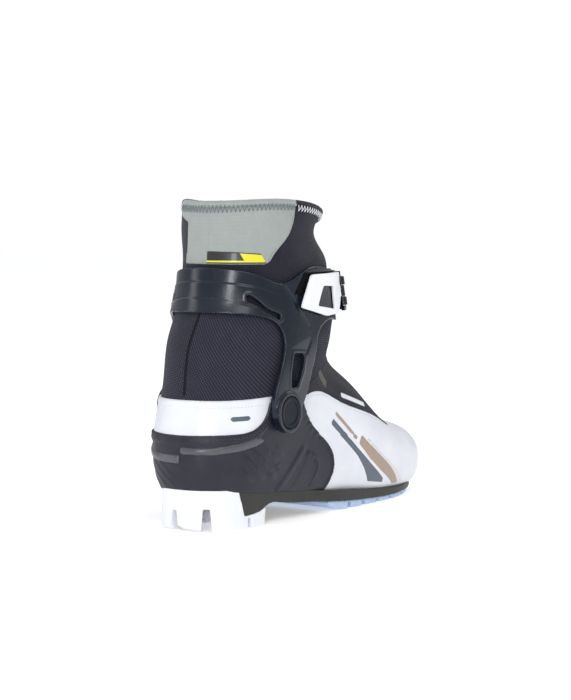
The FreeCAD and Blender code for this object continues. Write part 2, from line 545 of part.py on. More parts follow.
parts = {
    "vamp_shell": vamp_shell,
    "heel_counter": heel_counter,
    "heel_panel": heel_panel,
    "instep_cover": instep_cover,
    "ankle_sleeve": ankle_sleeve,
    "shaft_shell": shaft_shell,
    "shaft_lining": shaft_lining,
    "collar_binding": collar_binding,
    "toe_puff": toe_puff,
    "heel_stiffener": heel_stiffener,
    "foot_lining": foot_lining,
    "lasting_board": lasting_board,
    "footbed": footbed,
    "outsole_plate": outsole_plate,
    "heel_tread": heel_tread,
    "forefoot_tread": forefoot_tread,
    "toe_bar": toe_bar,
    "shank_plate": shank_plate,
    "pivot_rivets": pivot_rivets,
    "pivot_washers": pivot_washers,
    "cuff_shell": cuff_shell,
    "slate_stripe": slate_stripe,
    "tan_stripe": tan_stripe,
    "collar_panel": collar_panel,
    "label_patch": label_patch,
    "instep_tape": instep_tape,
    "hook_pad": hook_pad,
    "cuff_strap": cuff_strap,
    "strap_tab": strap_tab,
    "strap_anchor": strap_anchor,
    "strap_pin": strap_pin,
    "tab_keeper": tab_keeper,
    "tab_pin": tab_pin,
    "zip_tape": zip_tape,
    "zip_chain": zip_chain,
    "zip_slider": zip_slider,
    "zip_pull": zip_pull,
}

# ---- move to the shared frame and write --------------------------------------
whole = Part.Compound(list(parts.values()))
mesh_box = whole.optimalBoundingBox(False, False) if hasattr(whole, "optimalBoundingBox") else whole.BoundBox
home = V(-(mesh_box.XMin + mesh_box.XMax) / 2, -(mesh_box.YMin + mesh_box.YMax) / 2, -mesh_box.ZMin)
print("shift", [round(q, 3) for q in home], "zip run", round(zip_run, 2),
      "slope", round(math.degrees(zip_slope), 2), "top", [round(q, 2) for q in top])

for name, shape in parts.items():
    b = shape.BoundBox
    print(name, shape.isValid(), len(shape.Solids), round(shape.Volume / 1000, 2),
          [round(q, 1) for q in (b.XMin, b.XMax, b.YMin, b.YMax, b.ZMin, b.ZMax)])
    shape.translate(home)
    shape.exportStep("parts/%s.step" % name)
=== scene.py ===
import bpy
import math
import numpy as np
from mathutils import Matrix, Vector, kdtree

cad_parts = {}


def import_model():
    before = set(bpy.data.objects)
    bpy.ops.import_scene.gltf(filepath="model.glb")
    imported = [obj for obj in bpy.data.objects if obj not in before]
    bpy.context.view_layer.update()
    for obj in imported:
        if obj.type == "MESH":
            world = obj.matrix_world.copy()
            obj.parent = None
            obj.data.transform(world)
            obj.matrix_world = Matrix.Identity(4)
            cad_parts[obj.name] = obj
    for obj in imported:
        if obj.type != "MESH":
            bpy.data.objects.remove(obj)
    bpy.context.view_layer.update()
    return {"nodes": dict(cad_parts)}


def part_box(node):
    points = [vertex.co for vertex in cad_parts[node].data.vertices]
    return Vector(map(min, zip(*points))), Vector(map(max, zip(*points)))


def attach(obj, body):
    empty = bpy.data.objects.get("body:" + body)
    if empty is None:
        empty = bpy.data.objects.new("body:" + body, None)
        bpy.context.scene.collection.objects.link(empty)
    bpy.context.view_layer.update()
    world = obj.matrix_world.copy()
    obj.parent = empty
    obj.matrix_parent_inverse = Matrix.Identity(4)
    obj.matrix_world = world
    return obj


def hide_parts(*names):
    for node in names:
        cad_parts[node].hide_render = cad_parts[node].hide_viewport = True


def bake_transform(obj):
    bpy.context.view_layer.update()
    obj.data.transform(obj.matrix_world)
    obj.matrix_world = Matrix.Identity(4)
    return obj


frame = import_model()
cad_objects = {name: bpy.data.objects[name] for name in frame["nodes"]}

# ---- shared numbers, in mm in the part's design frame ----
# x from the back of the heel to the toe, y towards the inner side, z up.
TOE_BAR = (261.0, 0.0, 5.2)
STATIONS = np.array((
    # xa, za, xb, zb, lateral, medial, front power, back power
    (279.5, 29.0, 279.5, 17.0, 4.0, 4.0, 2.0, 2.0),
    (277.5, 39.0, 277.5, 8.0, 18.0, 18.0, 2.1, 2.2),
    (270.0, 48.0, 270.0, 4.0, 30.0, 29.0, 2.2, 2.5),
    (252.0, 55.0, 252.0, 2.0, 41.0, 38.0, 2.3, 2.8),
    (232.0, 60.5, 228.0, 2.0, 45.0, 43.0, 2.2, 3.0),
    (212.0, 73.0, 200.0, 2.0, 46.0, 45.0, 2.0, 3.2),
    (195.0, 89.0, 170.0, 4.0, 45.0, 44.0, 2.0, 3.2),
    (178.0, 101.0, 138.0, 6.0, 43.0, 43.0, 2.1, 3.2),
    (164.0, 109.5, 100.0, 6.0, 40.5, 42.0, 2.3, 3.0),
    (157.0, 118.0, 56.0, 6.0, 39.0, 42.5, 2.5, 2.7),
    (157.0, 127.0, 12.0, 18.0, 39.5, 44.0, 2.6, 2.5),
    (160.0, 138.0, 0.0, 56.0, 41.0, 46.0, 2.8, 2.4),
    (161.0, 149.0, 7.0, 92.0, 43.0, 46.0, 2.8, 2.2),
    (160.0, 160.0, 12.0, 124.0, 43.5, 46.5, 2.6, 2.1),
    (155.0, 174.0, 27.0, 152.0, 43.5, 47.0, 2.3, 2.0),
    (150.5, 188.5, 35.0, 180.0, 43.5, 48.0, 2.2, 2.0),
    (135.0, 202.5, 37.0, 204.0, 43.0, 48.0, 2.1, 2.0),
    (152.0, 219.0, 37.0, 234.0, 44.0, 48.0, 2.0, 2.0),
    (162.2, 233.0, 37.0, 248.0, 44.0, 48.0, 2.0, 2.0),
))

# Lines between the panels, drawn in side view as x and z.
SOLE_TOP = ((-12, 29.5), (14, 29), (30, 28), (84, 22.5), (136, 16), (170, 12.7), (212, 9.2), (228, 8.6),
            (245, 10), (262, 13), (276, 17), (292, 22))
VAMP_REAR = ((126, 8), (128, 18), (133, 33), (130, 46), (110, 64), (97, 79), (92, 87))
VAMP_TOP = ((92, 87), (106, 90), (124, 89), (146, 80), (181, 69), (204, 60), (219, 56), (229, 63), (233, 75))
PANEL_FRONT = ((-12, 66), (2, 67), (20, 67.5), (38, 70), (47, 77), (51, 86), (53, 91.5))
SLEEVE_LOW = ((-20, 92), (20, 90.5), (53, 91.5), (92, 95), (128, 107), (150, 114), (190, 120))
SHAFT_LOW = ((-20, 152), (40, 154), (66, 156), (110, 160), (150, 158), (190, 156))
RIM_TOP = ((-10, 224), (20, 225.5), (40, 227), (60, 228.3), (85, 227.3), (110, 224), (135, 218), (155, 211),
           (175, 202))
COLLAR_FRONT = ((53, 176), (55, 182), (58.5, 184), (62, 189), (70, 199), (77, 209), (80, 220.5), (80.5, 234))
SEAM_LOW = 5.5           # bottom of the rim's edging below its top
COLLAR_LOW = 182.8       # foot of the grey collar

bar_box = np.array(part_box("toe_bar"), float)
HOME = bar_box.mean(axis=0) * 1000.0 - np.array(TOE_BAR)


def world(p):
    """Design millimetres to the row frame's metres."""
    return (np.asarray(p, float) + HOME) / 1000.0


def design(p):
    return np.asarray(p, float) * 1000.0 - HOME


# ---- splines ----
def natural_operator(knots):
    """Matrix giving the second derivatives of a natural spline from its values."""
    n = len(knots)
    h = np.diff(knots)
    a = np.eye(n)
    b = np.zeros((n, n))
    for i in range(1, n - 1):
        a[i, i - 1], a[i, i], a[i, i + 1] = h[i - 1], 2 * (h[i - 1] + h[i]), h[i]
        b[i, i - 1], b[i, i + 1] = 6 / h[i - 1], 6 / h[i]
        b[i, i] = -6 / h[i - 1] - 6 / h[i]
    return np.linalg.solve(a, b)


def spline_weights(knots, curvature, t):
    """Row of spline weights over the knots for each t."""
    t = np.atleast_1d(t)
    n = len(knots)
    i = np.clip(np.searchsorted(knots, t) - 1, 0, n - 2)
    h = knots[i + 1] - knots[i]
    u = (knots[i + 1] - t) / h
    v = (t - knots[i]) / h
    w = np.zeros((len(t), n))
    r = np.arange(len(t))
    w[r, i] += u
    w[r, i + 1] += v
    w += ((u ** 3 - u) * h * h / 6)[:, None] * curvature[i]
    w += ((v ** 3 - v) * h * h / 6)[:, None] * curvature[i + 1]
    return w


def run_along(points):
    """Length of a polyline from its first point to each point."""
    return np.concatenate([[0.0], np.cumsum(np.linalg.norm(np.diff(points, axis=0), axis=1))])


def columns_at(s, run, values):
    """Each column of values, read off at the lengths s."""
    return np.stack([np.interp(s, run, column) for column in np.transpose(values)], -1)


def smooth(points, step=6):
    """Points along a smooth curve through the given ones."""
    p = np.array(points, float)
    knots = run_along(p)
    t = np.linspace(0, knots[-1], step * (len(p) - 1) + 1)
    return spline_weights(knots, natural_operator(knots), t) @ p


def resample(points, gap):
    """Points evenly spaced along a polyline."""
    run = run_along(points)
    count = max(2, int(round(run[-1] / gap)) + 1)
    return columns_at(np.linspace(0, run[-1], count), run, points)


# ---- the upper's surface ----
def section(station, angle):
    """Points at the angles (radians; 90 front, 0 lateral, -90 back, 180 medial)."""
    xa, za, xb, zb, lat, med, nf, nb = station
    half = math.hypot(xa - xb, za - zb) / 2
    ux, uz = (xa - xb) / (2 * half), (za - zb) / (2 * half)
    sn, cs = np.sin(angle), np.cos(angle)
    blend = 1 / (1 + np.exp(-6 * sn))
    power = 2 / (nf * blend + nb * (1 - blend))
    side = np.where(cs >= 0, lat, med)
    k = half * np.sign(sn) * np.abs(sn) ** power
    y = -side * np.sign(cs) * np.abs(cs) ** power
    return np.stack([(xa + xb) / 2 + ux * k, y, (za + zb) / 2 + uz * k], -1)


def chord_knots():
    angle = np.linspace(-math.pi, math.pi, 49)[:-1]
    rows = np.stack([section(s, angle) for s in STATIONS])
    steps = np.linalg.norm(np.diff(rows, axis=0), axis=2).mean(axis=1)
    return np.concatenate([[0.0], np.cumsum(steps)])


KNOTS = chord_knots()
CURVATURE = natural_operator(KNOTS)
T_END = KNOTS[-1]


def skin(t, angle):
    """Point of the upper at t along the spine and an angle."""
    t, angle = np.broadcast_arrays(np.atleast_1d(t).astype(float), np.atleast_1d(angle).astype(float))
    shape = t.shape
    t, angle = t.ravel(), angle.ravel()
    w = spline_weights(KNOTS, CURVATURE, t)
    out = np.zeros((len(t), 3))
    for k in range(len(STATIONS)):
        use = np.abs(w[:, k]) > 1e-5
        out[use] += w[use, k:k + 1] * section(STATIONS[k], angle[use])
    return out.reshape(shape + (3,))


def skin_normal(t, angle):
    e = 0.5
    da = e / 45.0
    p = skin(np.minimum(t + e, T_END), angle) - skin(np.maximum(t - e, 0), angle)
    q = skin(t, angle + da) - skin(t, angle - da)
    n = np.cross(p, q)
    n /= np.linalg.norm(n, axis=-1, keepdims=True) + 1e-12
    return n


GRID_MM = 0.9
TOE_RING_LEAST = 40      # a ring at the tip with fewer points isn't a whole toe
ROWS = int(T_END / GRID_MM)
COLUMNS = 300
A_FIRST = -math.pi / 2
row_t = np.linspace(0, T_END, ROWS + 1)
col_a = A_FIRST + np.arange(COLUMNS) * 2 * math.pi / COLUMNS
grid_t, grid_a = np.meshgrid(row_t, col_a, indexing="ij")
grid_p = skin(grid_t, grid_a)
probe = (ROWS // 2, COLUMNS // 4)
probe_out = grid_p[probe] - grid_p[probe[0]].mean(axis=0)
NORMAL_SIGN = -1.0 if (skin_normal(row_t[probe[0]], col_a[probe[1]])[0] @ probe_out) < 0 else 1.0


def outward(t, angle):
    """Normals of the upper that point out of the boot."""
    return NORMAL_SIGN * skin_normal(t, angle)


def search_tree(points):
    tree = kdtree.KDTree(len(points))
    for k, p in enumerate(points):
        tree.insert(p, k)
    tree.balance()
    return tree


side_trees = {}


def side_tree(side):
    """Search tree over one half of the upper's grid, in side view."""
    if side not in side_trees:
        idx = np.argwhere((grid_p[..., 1] * side >= -0.01)[::2, ::2]) * 2
        side_trees[side] = (idx, search_tree([(grid_p[i, j, 0], 0.0, grid_p[i, j, 2]) for i, j in idx]))
    return side_trees[side]


def locate(points, side):
    """t and angle of side-view points (x, z) on the lateral (-1) or medial (1) half."""
    pts = np.array(points, float)
    idx, tree = side_tree(side)
    t = np.zeros(len(pts))
    a = np.zeros(len(pts))
    for k, (x, z) in enumerate(pts):
        i, j = idx[tree.find((x, 0.0, z))[1]]
        t[k], a[k] = row_t[i], col_a[j]
    e = 0.05
    for _ in range(5):
        here = skin(t, a)
        dt = (skin(t + e, a) - here) / e
        da = (skin(t, a + e / 45) - here) / (e / 45)
        det = dt[:, 0] * da[:, 2] - dt[:, 2] * da[:, 0]
        det = np.where(np.abs(det) < 2.0, np.sign(det + 1e-9) * 2.0, det)
        rx, rz = pts[:, 0] - here[:, 0], pts[:, 1] - here[:, 2]
        t = np.clip(t + np.clip((rx * da[:, 2] - rz * da[:, 0]) / det, -1.5, 1.5), 0.3, T_END - 0.3)
        a = a + np.clip((dt[:, 0] * rz - dt[:, 2] * rx) / det, -0.03, 0.03)
    return t, a


# ---- side-view fields: negative inside, mm ----
def line_distance(line, x, z):
    """Distance to a polyline in side view."""
    best = np.full(x.shape, 1e9)
    for (x0, z0), (x1, z1) in zip(line[:-1], line[1:]):
        dx, dz = x1 - x0, z1 - z0
        s = np.clip(((x - x0) * dx + (z - z0) * dz) / (dx * dx + dz * dz + 1e-12), 0, 1)
        best = np.minimum(best, (x - x0 - s * dx) ** 2 + (z - z0 - s * dz) ** 2)
    return np.sqrt(best)


def outline(points):
    """Field of a closed outline."""
    ring = np.array([*points, points[0]], float)

    def field(x, y, z):
        inside = np.zeros(x.shape, bool)
        for (x0, z0), (x1, z1) in zip(ring[:-1], ring[1:]):
            if z0 == z1:
                continue
            hit = ((z0 > z) != (z1 > z)) & (x < (x1 - x0) * (z - z0) / (z1 - z0) + x0)
            inside ^= hit
        return np.where(inside, -1, 1) * line_distance(ring, x, z)
    return field


def level(line, x):
    """Height of a side-view line at x."""
    return np.interp(x, line[:, 0], line[:, 1])


def over(line, lift=0.0):
    """Field of everything above a height line."""
    return lambda x, y, z: level(line, x) + lift - z


def under(line, lift=0.0):
    return lambda x, y, z: z - lift - level(line, x)


def both(*fields):
    return lambda x, y, z: np.maximum.reduce([f(x, y, z) for f in fields])


def either(*fields):
    return lambda x, y, z: np.minimum.reduce([f(x, y, z) for f in fields])


def grown(field, by):
    return lambda x, y, z: field(x, y, z) - by


def one_side(field, side, reach=0.0):
    """Field kept to one half of the boot."""
    return lambda x, y, z: np.maximum(field(x, y, z), -side * y - reach)


def ramp(value, low, high):
    s = np.clip((value - low) / (high - low), 0, 1)
    return s * s * (3 - 2 * s)


def fade(value, low, high):
    return 1 - ramp(value, low, high)


def ridge(line, x, z, width, height):
    """Rounded rib of the width and height along a side-view line."""
    return height * fade(line_distance(line, x, z), width * 0.25, width * 0.6)


sole_top = smooth(SOLE_TOP)
vamp_rear = smooth(VAMP_REAR)
vamp_top = smooth(VAMP_TOP)
panel_front = smooth(PANEL_FRONT)
sleeve_low = smooth(SLEEVE_LOW)
shaft_low = smooth(SHAFT_LOW)
rim_top = smooth(RIM_TOP)
collar_front = smooth(COLLAR_FRONT)

above_sole = over(sole_top, -1.2)
vamp_zone = outline(np.vstack([vamp_rear, vamp_top[1:], [(300, 75), (300, 4)]]))
counter_zone = outline(np.vstack([[(-30, 4)], vamp_rear, [(92, 95)],
                                  sleeve_low[(sleeve_low[:, 0] >= 53) & (sleeve_low[:, 0] < 92)][::-1],
                                  panel_front[::-1], [(-30, 66)]]))
panel_zone = outline(np.vstack([panel_front, sleeve_low[sleeve_low[:, 0] < 53][::-1]]))
cover_zone = outline(np.vstack([[(92, 95)], vamp_top, [(260, 75), (260, 130), (190, 120)],
                                sleeve_low[(sleeve_low[:, 0] > 92) & (sleeve_low[:, 0] < 190)][::-1]]))
collar_zone = both(lambda x, y, z: COLLAR_LOW - z, either(
    one_side(outline(np.vstack([[(-20, 176)], collar_front, [(-20, 234)]])), -1, 0.6),
    one_side(outline([(-20, 176), (42.3, 176), (42.6, 212), (50, 216), (50, 234), (-20, 234)]), 1, 0.6)))


# ---- mesh helpers ----
def link(obj):
    bpy.context.scene.collection.objects.link(obj)
    return obj


def build(name, verts, faces, uv=None):
    """Mesh object from design-frame points in mm."""
    mesh = bpy.data.meshes.new(name)
    mesh.from_pydata([tuple(v) for v in world(verts)], [], faces)
    if uv is not None:
        layer = mesh.uv_layers.new(name="UVMap")
        layer.data.foreach_set("uv", np.asarray(uv, float).ravel())
    mesh.polygons.foreach_set("use_smooth", [True] * len(mesh.polygons))
    mesh.update()
    return link(bpy.data.objects.new(name, mesh))


def cut_grid(field):
    """The part of the upper's grid inside a field: t, angle, point, normal, faces."""
    f = field(grid_p[..., 0], grid_p[..., 1], grid_p[..., 2])
    f = np.where(np.abs(f) < 0.12 * GRID_MM, -1e-6, f)
    inside = f <= 0
    ids = {}
    tt, aa = [], []

    def corner(i, j):
        key = (i, j % COLUMNS)
        if key not in ids:
            ids[key] = len(tt)
            tt.append(row_t[i])
            aa.append(col_a[j % COLUMNS])
        return ids[key]

    def crossing(i0, j0, i1, j1):
        if (i1, j1) < (i0, j0):
            i0, j0, i1, j1 = i1, j1, i0, j0
        key = (i0, j0 % COLUMNS, i1, j1 % COLUMNS)
        if key not in ids:
            f0, f1 = f[i0, j0 % COLUMNS], f[i1, j1 % COLUMNS]
            s = f0 / (f0 - f1)
            ids[key] = len(tt)
            step = 2 * math.pi / COLUMNS
            tt.append(row_t[i0] + s * (row_t[i1] - row_t[i0]))
            aa.append(A_FIRST + (j0 + s * (j1 - j0)) * step)
        return ids[key]

    count = (inside[:-1].astype(int) + inside[1:] + np.roll(inside, -1, 1)[:-1] + np.roll(inside, -1, 1)[1:])
    faces = []
    for i, j in np.argwhere(count > 0):
        i, j = int(i), int(j)
        ring = ((i, j), (i, j + 1), (i + 1, j + 1), (i + 1, j))
        if count[i, j] == 4:
            faces.append(tuple(corner(*c) for c in ring))
            continue
        face = []
        for c0, c1 in zip(ring, ring[1:] + ring[:1]):
            in0, in1 = inside[c0[0], c0[1] % COLUMNS], inside[c1[0], c1[1] % COLUMNS]
            if in0:
                face.append(corner(*c0))
            if in0 != in1:
                face.append(crossing(*c0, *c1))
        if len(face) >= 3:
            faces.append(tuple(face))
    tt, aa = np.array(tt), np.array(aa)
    return tt, aa, skin(tt, aa), outward(tt, aa), faces


def open_edges(faces):
    """Directed edges that belong to one face only."""
    seen = {}
    for face in faces:
        for a, b in zip(face, face[1:] + face[:1]):
            if (b, a) in seen:
                del seen[(b, a)]
            else:
                seen[(a, b)] = True
    return list(seen)


def edge_points(edges):
    return sorted({k for e in edges for k in e})


def edge_distance(points, edges):
    """Distance of each point to the nearest open edge."""
    tree = search_tree([m for a, b in edges for m in (points[a], (points[a] + points[b]) / 2)])
    return np.array([tree.find(p)[2] for p in points])


def toe_ring(tt, aa):
    """Indices of the small open ring at the tip of the toe, in order."""
    return sorted((k for k in range(len(tt)) if tt[k] < 1e-6), key=lambda k: aa[k])


def skin_piece(name, field, base, thick, roll=1.0, relief=None, inner=None, depth=1.6, sink=None):
    """A panel of the upper: rolled edges, a skirt below them, or a full inner face.

    base and thick are the heights above the CAD surface of the panel's foot and
    its rise; relief(x, y, z, d) adds to it; inner closes it with a back face.
    """
    tt, aa, p, n, faces = cut_grid(field)
    edges = open_edges(faces)
    d = edge_distance(p, edges)
    d[edge_points(edges)] = 0.0
    rise = np.sqrt(np.clip(1 - (1 - np.clip(d / roll, 0, 1)) ** 2, 0, 1))
    x, y, z = p[:, 0], p[:, 1], p[:, 2]
    extra = relief(x, y, z, d) if relief else 0.0
    h = base + (thick + extra) * rise
    if sink:
        h = h - sink(x, y, z)
    top = p + n * h[:, None]
    verts = [top]
    every = list(faces)
    total = len(p)
    ring = toe_ring(tt, aa)
    if len(ring) > TOE_RING_LEAST:
        middle = top[ring].mean(axis=0) + np.array([1.0, 0, 0])
        verts.append(middle[None])
        loop = ring + ring[:1]
        for k0, k1 in zip(loop[:-1], loop[1:]):
            every.append((k1, k0, total))
        total += 1
        tt = np.append(tt, 0.0)
        aa = np.append(aa, 0.0)
        edges = [e for e in edges if not (tt[e[0]] < 1e-6 and tt[e[1]] < 1e-6)]
    if inner is not None:
        low_ids = list(range(len(p)))
        drop = inner + (base + thick / 2 - inner) * (1 - rise) * 0.5
        every += [tuple(total + k for k in reversed(f)) for f in faces]
    else:
        low_ids = edge_points(edges)
        drop = np.full(len(p), base - depth)
    verts.append(p[low_ids] + (n * drop[:, None])[low_ids])
    below = {k: total + i for i, k in enumerate(low_ids)}
    every += [(b, a, below[a], below[b]) for a, b in edges]
    tt, aa = np.append(tt, tt[low_ids]), np.append(aa, aa[low_ids])
    if NORMAL_SIGN < 0:
        every = [tuple(reversed(f)) for f in every]
    uv = []
    for face in every:
        fa = aa[list(face)]
        if fa.max() - fa.min() > math.pi:
            fa = np.where(fa < math.pi / 2, fa + 2 * math.pi, fa)
        uv += [(tt[k] / 10, v * 4.5) for k, v in zip(face, fa)]
    return build(name, np.vstack(verts), every, uv)


def tangents(path):
    t = np.gradient(np.asarray(path, float), axis=0)
    return t / (np.linalg.norm(t, axis=1, keepdims=True) + 1e-12)


def tube_mesh(path, normals, radius, flat=1.0, sides=8):
    """Verts and faces of a closed-ended tube along a path."""
    path = np.asarray(path, float)
    t = tangents(path)
    n = np.asarray(normals, float)
    b = np.cross(t, n)
    b /= np.linalg.norm(b, axis=1, keepdims=True) + 1e-12
    n = np.cross(b, t)
    r = np.broadcast_to(radius, len(path))
    ang = np.arange(sides) * 2 * math.pi / sides
    ring = (path[:, None] + r[:, None, None] * (np.cos(ang)[None, :, None] * b[:, None]
                                                + flat * np.sin(ang)[None, :, None] * n[:, None]))
    verts = ring.reshape(-1, 3)
    faces = []
    for i in range(len(path) - 1):
        for j in range(sides):
            k = (j + 1) % sides
            faces.append((i * sides + j, i * sides + k, (i + 1) * sides + k, (i + 1) * sides + j))
    faces.append(tuple(range(sides))[::-1])
    faces.append(tuple((len(path) - 1) * sides + j for j in range(sides)))
    return verts, faces


def join_meshes(parts):
    verts, faces, at = [], [], 0
    for v, f in parts:
        verts.append(v)
        faces += [tuple(at + k for k in face) for face in f]
        at += len(v)
    return np.vstack(verts), faces


def on_skin(line, side, gap, height):
    """Path on the upper from a side-view line: points and normals."""
    pts = resample(line, gap)
    t, a = locate(pts, side)
    n = outward(t, a)
    return skin(t, a) + n * height, n


def beside(line, by):
    """Side-view line moved sideways, to the left of its direction."""
    p = np.array(line, float)
    t = tangents(p)
    return p + by * np.stack([-t[:, 1], t[:, 0]], -1)


def stitch_parts(path, normals, length, gap, radius):
    """Separate stitches along a path."""
    run = run_along(path)
    parts = []
    pitch = length + gap
    for k in range(int(run[-1] // pitch)):
        s = np.linspace(k * pitch + gap / 2, k * pitch + gap / 2 + length, 5)
        p, n = columns_at(s, run, path), columns_at(s, run, normals)
        dip = np.array([-0.22, 0.02, 0.1, 0.02, -0.22]) * (radius / 0.3)
        p = p + n * dip[:, None]
        parts.append(tube_mesh(p, n, radius * np.array([0.55, 0.95, 1.0, 0.95, 0.55]), 0.7, 6))
    return parts


def rim_ring(drop):
    """Angles right round the boot, and the spine values that lie drop below the rim line."""
    angle = np.linspace(A_FIRST - math.pi, A_FIRST + math.pi, 721)
    low, high = np.full(721, KNOTS[-5]), np.full(721, T_END - 0.2)
    for _ in range(24):
        mid = (low + high) / 2
        p = skin(mid, angle)
        above = p[:, 2] > level(rim_top, p[:, 0]) - drop
        low, high = np.where(above, low, mid), np.where(above, mid, high)
    return angle, (low + high) / 2


def zigzag_parts(ring, first, last, wide, pitch, height, radius=0.32):
    """Zigzag thread along a ring between two angles, wide across it."""
    angle, t = ring
    keep = (angle >= first) & (angle <= last)
    angle, t = angle[keep], t[keep]
    run = run_along(skin(t, angle))
    count = int(run[-1] * 2 / pitch)
    a = np.interp(np.linspace(0, run[-1], count), run, angle)
    swing = np.where(np.arange(count) % 2 == 0, wide / 2, -wide / 2)
    v = np.interp(a, angle, t) + swing
    parts = []
    for k in range(count - 1):
        aa, tt = np.linspace(a[k], a[k + 1], 5), np.linspace(v[k], v[k + 1], 5)
        n = outward(tt, aa)
        dip = np.array([-0.25, 0.1, 0.15, 0.1, -0.25])
        parts.append(tube_mesh(skin(tt, aa) + n * (height + dip)[:, None], n, radius, 0.7, 6))
    return parts


def rows_of(items, key):
    """A vector property of a mesh's elements, one row each."""
    out = np.zeros(len(items) * 3)
    items.foreach_get(key, out)
    return out.reshape(-1, 3)


def moulded(node, name, voxel, rounds, relief=None):
    """Copy of a CAD node with softened edges and, if wanted, raised lines."""
    obj = link(bpy.data.objects.new(name, cad_objects[node].data.copy()))
    mod = obj.modifiers.new("remesh", "REMESH")
    mod.mode = "VOXEL"
    mod.voxel_size = voxel / 1000.0
    soft = obj.modifiers.new("soft", "SMOOTH")
    soft.factor = 0.5
    soft.iterations = rounds
    bpy.context.view_layer.update()
    done = bpy.data.meshes.new_from_object(obj.evaluated_get(bpy.context.evaluated_depsgraph_get()))
    obj.modifiers.clear()
    obj.data = done
    if relief is not None:
        co, no = rows_of(done.vertices, "co"), rows_of(done.vertices, "normal")
        p = design(co)
        co = co + no * (relief(p[:, 0], p[:, 1], p[:, 2], no) / 1000.0)[:, None]
        done.vertices.foreach_set("co", co.ravel())
    done.polygons.foreach_set("use_smooth", [True] * len(done.polygons))
    done.update()
    return obj


# ---- materials ----
SOCKETS = {"specular_ior_level": "Specular IOR Level"}


class Look:
    """Wires one procedural material; lengths are in mm of the object."""

    def __init__(self, name, color, rough, **sockets):
        self.mat = bpy.data.materials.new(name)
        self.mat.use_nodes = True
        self.tree = self.mat.node_tree
        self.bsdf = self.tree.nodes["Principled BSDF"]
        self.bsdf.inputs["Base Color"].default_value = (*color, 1)
        self.bsdf.inputs["Roughness"].default_value = rough
        for key, value in sockets.items():
            self.bsdf.inputs[SOCKETS.get(key, key.replace("_", " ").title())].default_value = value

    def node(self, kind, **inputs):
        made = self.tree.nodes.new("ShaderNode" + kind)
        for key, value in inputs.items():
            self.plug(made.inputs[key], value)
        return made

    def plug(self, socket, value):
        if hasattr(value, "is_output"):
            self.tree.links.new(value, socket)
        else:
            socket.default_value = value

    def calc(self, op, a, b=0.0, c=0.0):
        made = self.node("Math")
        made.operation = op
        for k, v in enumerate((a, b, c)):
            self.plug(made.inputs[k], v)
        return made.outputs[0]

    def place(self):
        """Object coordinates in mm."""
        scaled = self.node("VectorMath", Vector=self.node("TexCoord").outputs["Object"])
        scaled.operation = "SCALE"
        scaled.inputs["Scale"].default_value = 1000.0
        return scaled.outputs[0]

    def cloth_axes(self):
        """Two coordinates in mm that run along and round the fabric."""
        parts = self.node("SeparateXYZ", Vector=self.node("TexCoord").outputs["UV"])
        return (self.calc("MULTIPLY", parts.outputs[0], 10.0), self.calc("MULTIPLY", parts.outputs[1], 10.0))

    def noise(self, scale, detail=2.0, rough=0.5, vector=None):
        made = self.node("TexNoise", Vector=vector or self.place(), Scale=scale, Detail=detail,
                         Roughness=rough)
        return made.outputs["Fac"]

    def cells(self, scale):
        return self.node("TexVoronoi", Vector=self.place(), Scale=scale).outputs["Distance"]

    def remap(self, value, low, high, out_low=0.0, out_high=1.0):
        made = self.node("MapRange", **{"Value": value, "From Min": low, "From Max": high,
                                        "To Min": out_low, "To Max": out_high})
        return made.outputs["Result"]

    def blend_color(self, fac, a, b):
        made = self.node("Mix")
        made.data_type = "RGBA"
        self.plug(made.inputs[0], fac)
        for socket, value in ((made.inputs[6], a), (made.inputs[7], b)):
            self.plug(socket, value if hasattr(value, "is_output") else (*value, 1))
        return made.outputs[2]

    def tint(self, fac, a, b):
        self.plug(self.bsdf.inputs["Base Color"], self.blend_color(fac, a, b))

    def rough(self, value):
        self.plug(self.bsdf.inputs["Roughness"], value)

    def bump(self, height, depth_mm, strength=1.0, under=None):
        made = self.node("Bump", Height=height, Strength=strength, Distance=depth_mm / 1000.0)
        if under is not None:
            self.plug(made.inputs["Normal"], under)
        self.plug(self.bsdf.inputs["Normal"], made.outputs[0])
        return made.outputs[0]


def knit(name, dark, light, pitch, turn, row, depth, rough=0.82, sheen=0.06, fuzz=0.3):
    """Ribbed knit: ribs pitch mm apart, turned by degrees, with beads row mm apart."""
    m = Look(name, dark, rough, sheen_weight=sheen, sheen_roughness=0.45, specular_ior_level=0.12)
    u, v = m.cloth_axes()
    c, s = math.cos(math.radians(turn)), math.sin(math.radians(turn))
    across = m.calc("MULTIPLY_ADD", u, c / pitch, m.calc("MULTIPLY", v, s / pitch))
    along = m.calc("MULTIPLY_ADD", u, -s / row, m.calc("MULTIPLY", v, c / row))
    rib = m.calc("ABSOLUTE", m.calc("SINE", m.calc("MULTIPLY", across, math.pi)))
    shift = m.calc("MULTIPLY", m.calc("FLOOR", across), math.pi)
    bead = m.calc("MULTIPLY_ADD", m.calc("SINE", m.calc("MULTIPLY_ADD", along, 2 * math.pi, shift)), 0.5, 0.5)
    grain = m.noise(2.2, 3.0, 0.6)
    patches = m.noise(0.06, 2.0, 0.5)
    height = m.calc("MULTIPLY", rib, m.calc("MULTIPLY_ADD", bead, 0.7, 0.3))
    full = m.calc("MULTIPLY_ADD", grain, fuzz, height)
    # Colour follows the knit's relief: rib crests and beads are painted lighter and the hollows between them
    # painted darker (painted shade), varied by random grain and patches.
    lit = m.calc("MULTIPLY", m.calc("POWER", height, 1.4), m.remap(grain, 0.3, 0.75, 0.55, 1.0))
    lit = m.calc("MULTIPLY", lit, m.remap(patches, 0.3, 0.7, 0.8, 1.1))
    m.tint(lit, dark, light)
    m.bump(full, depth)
    return m.mat


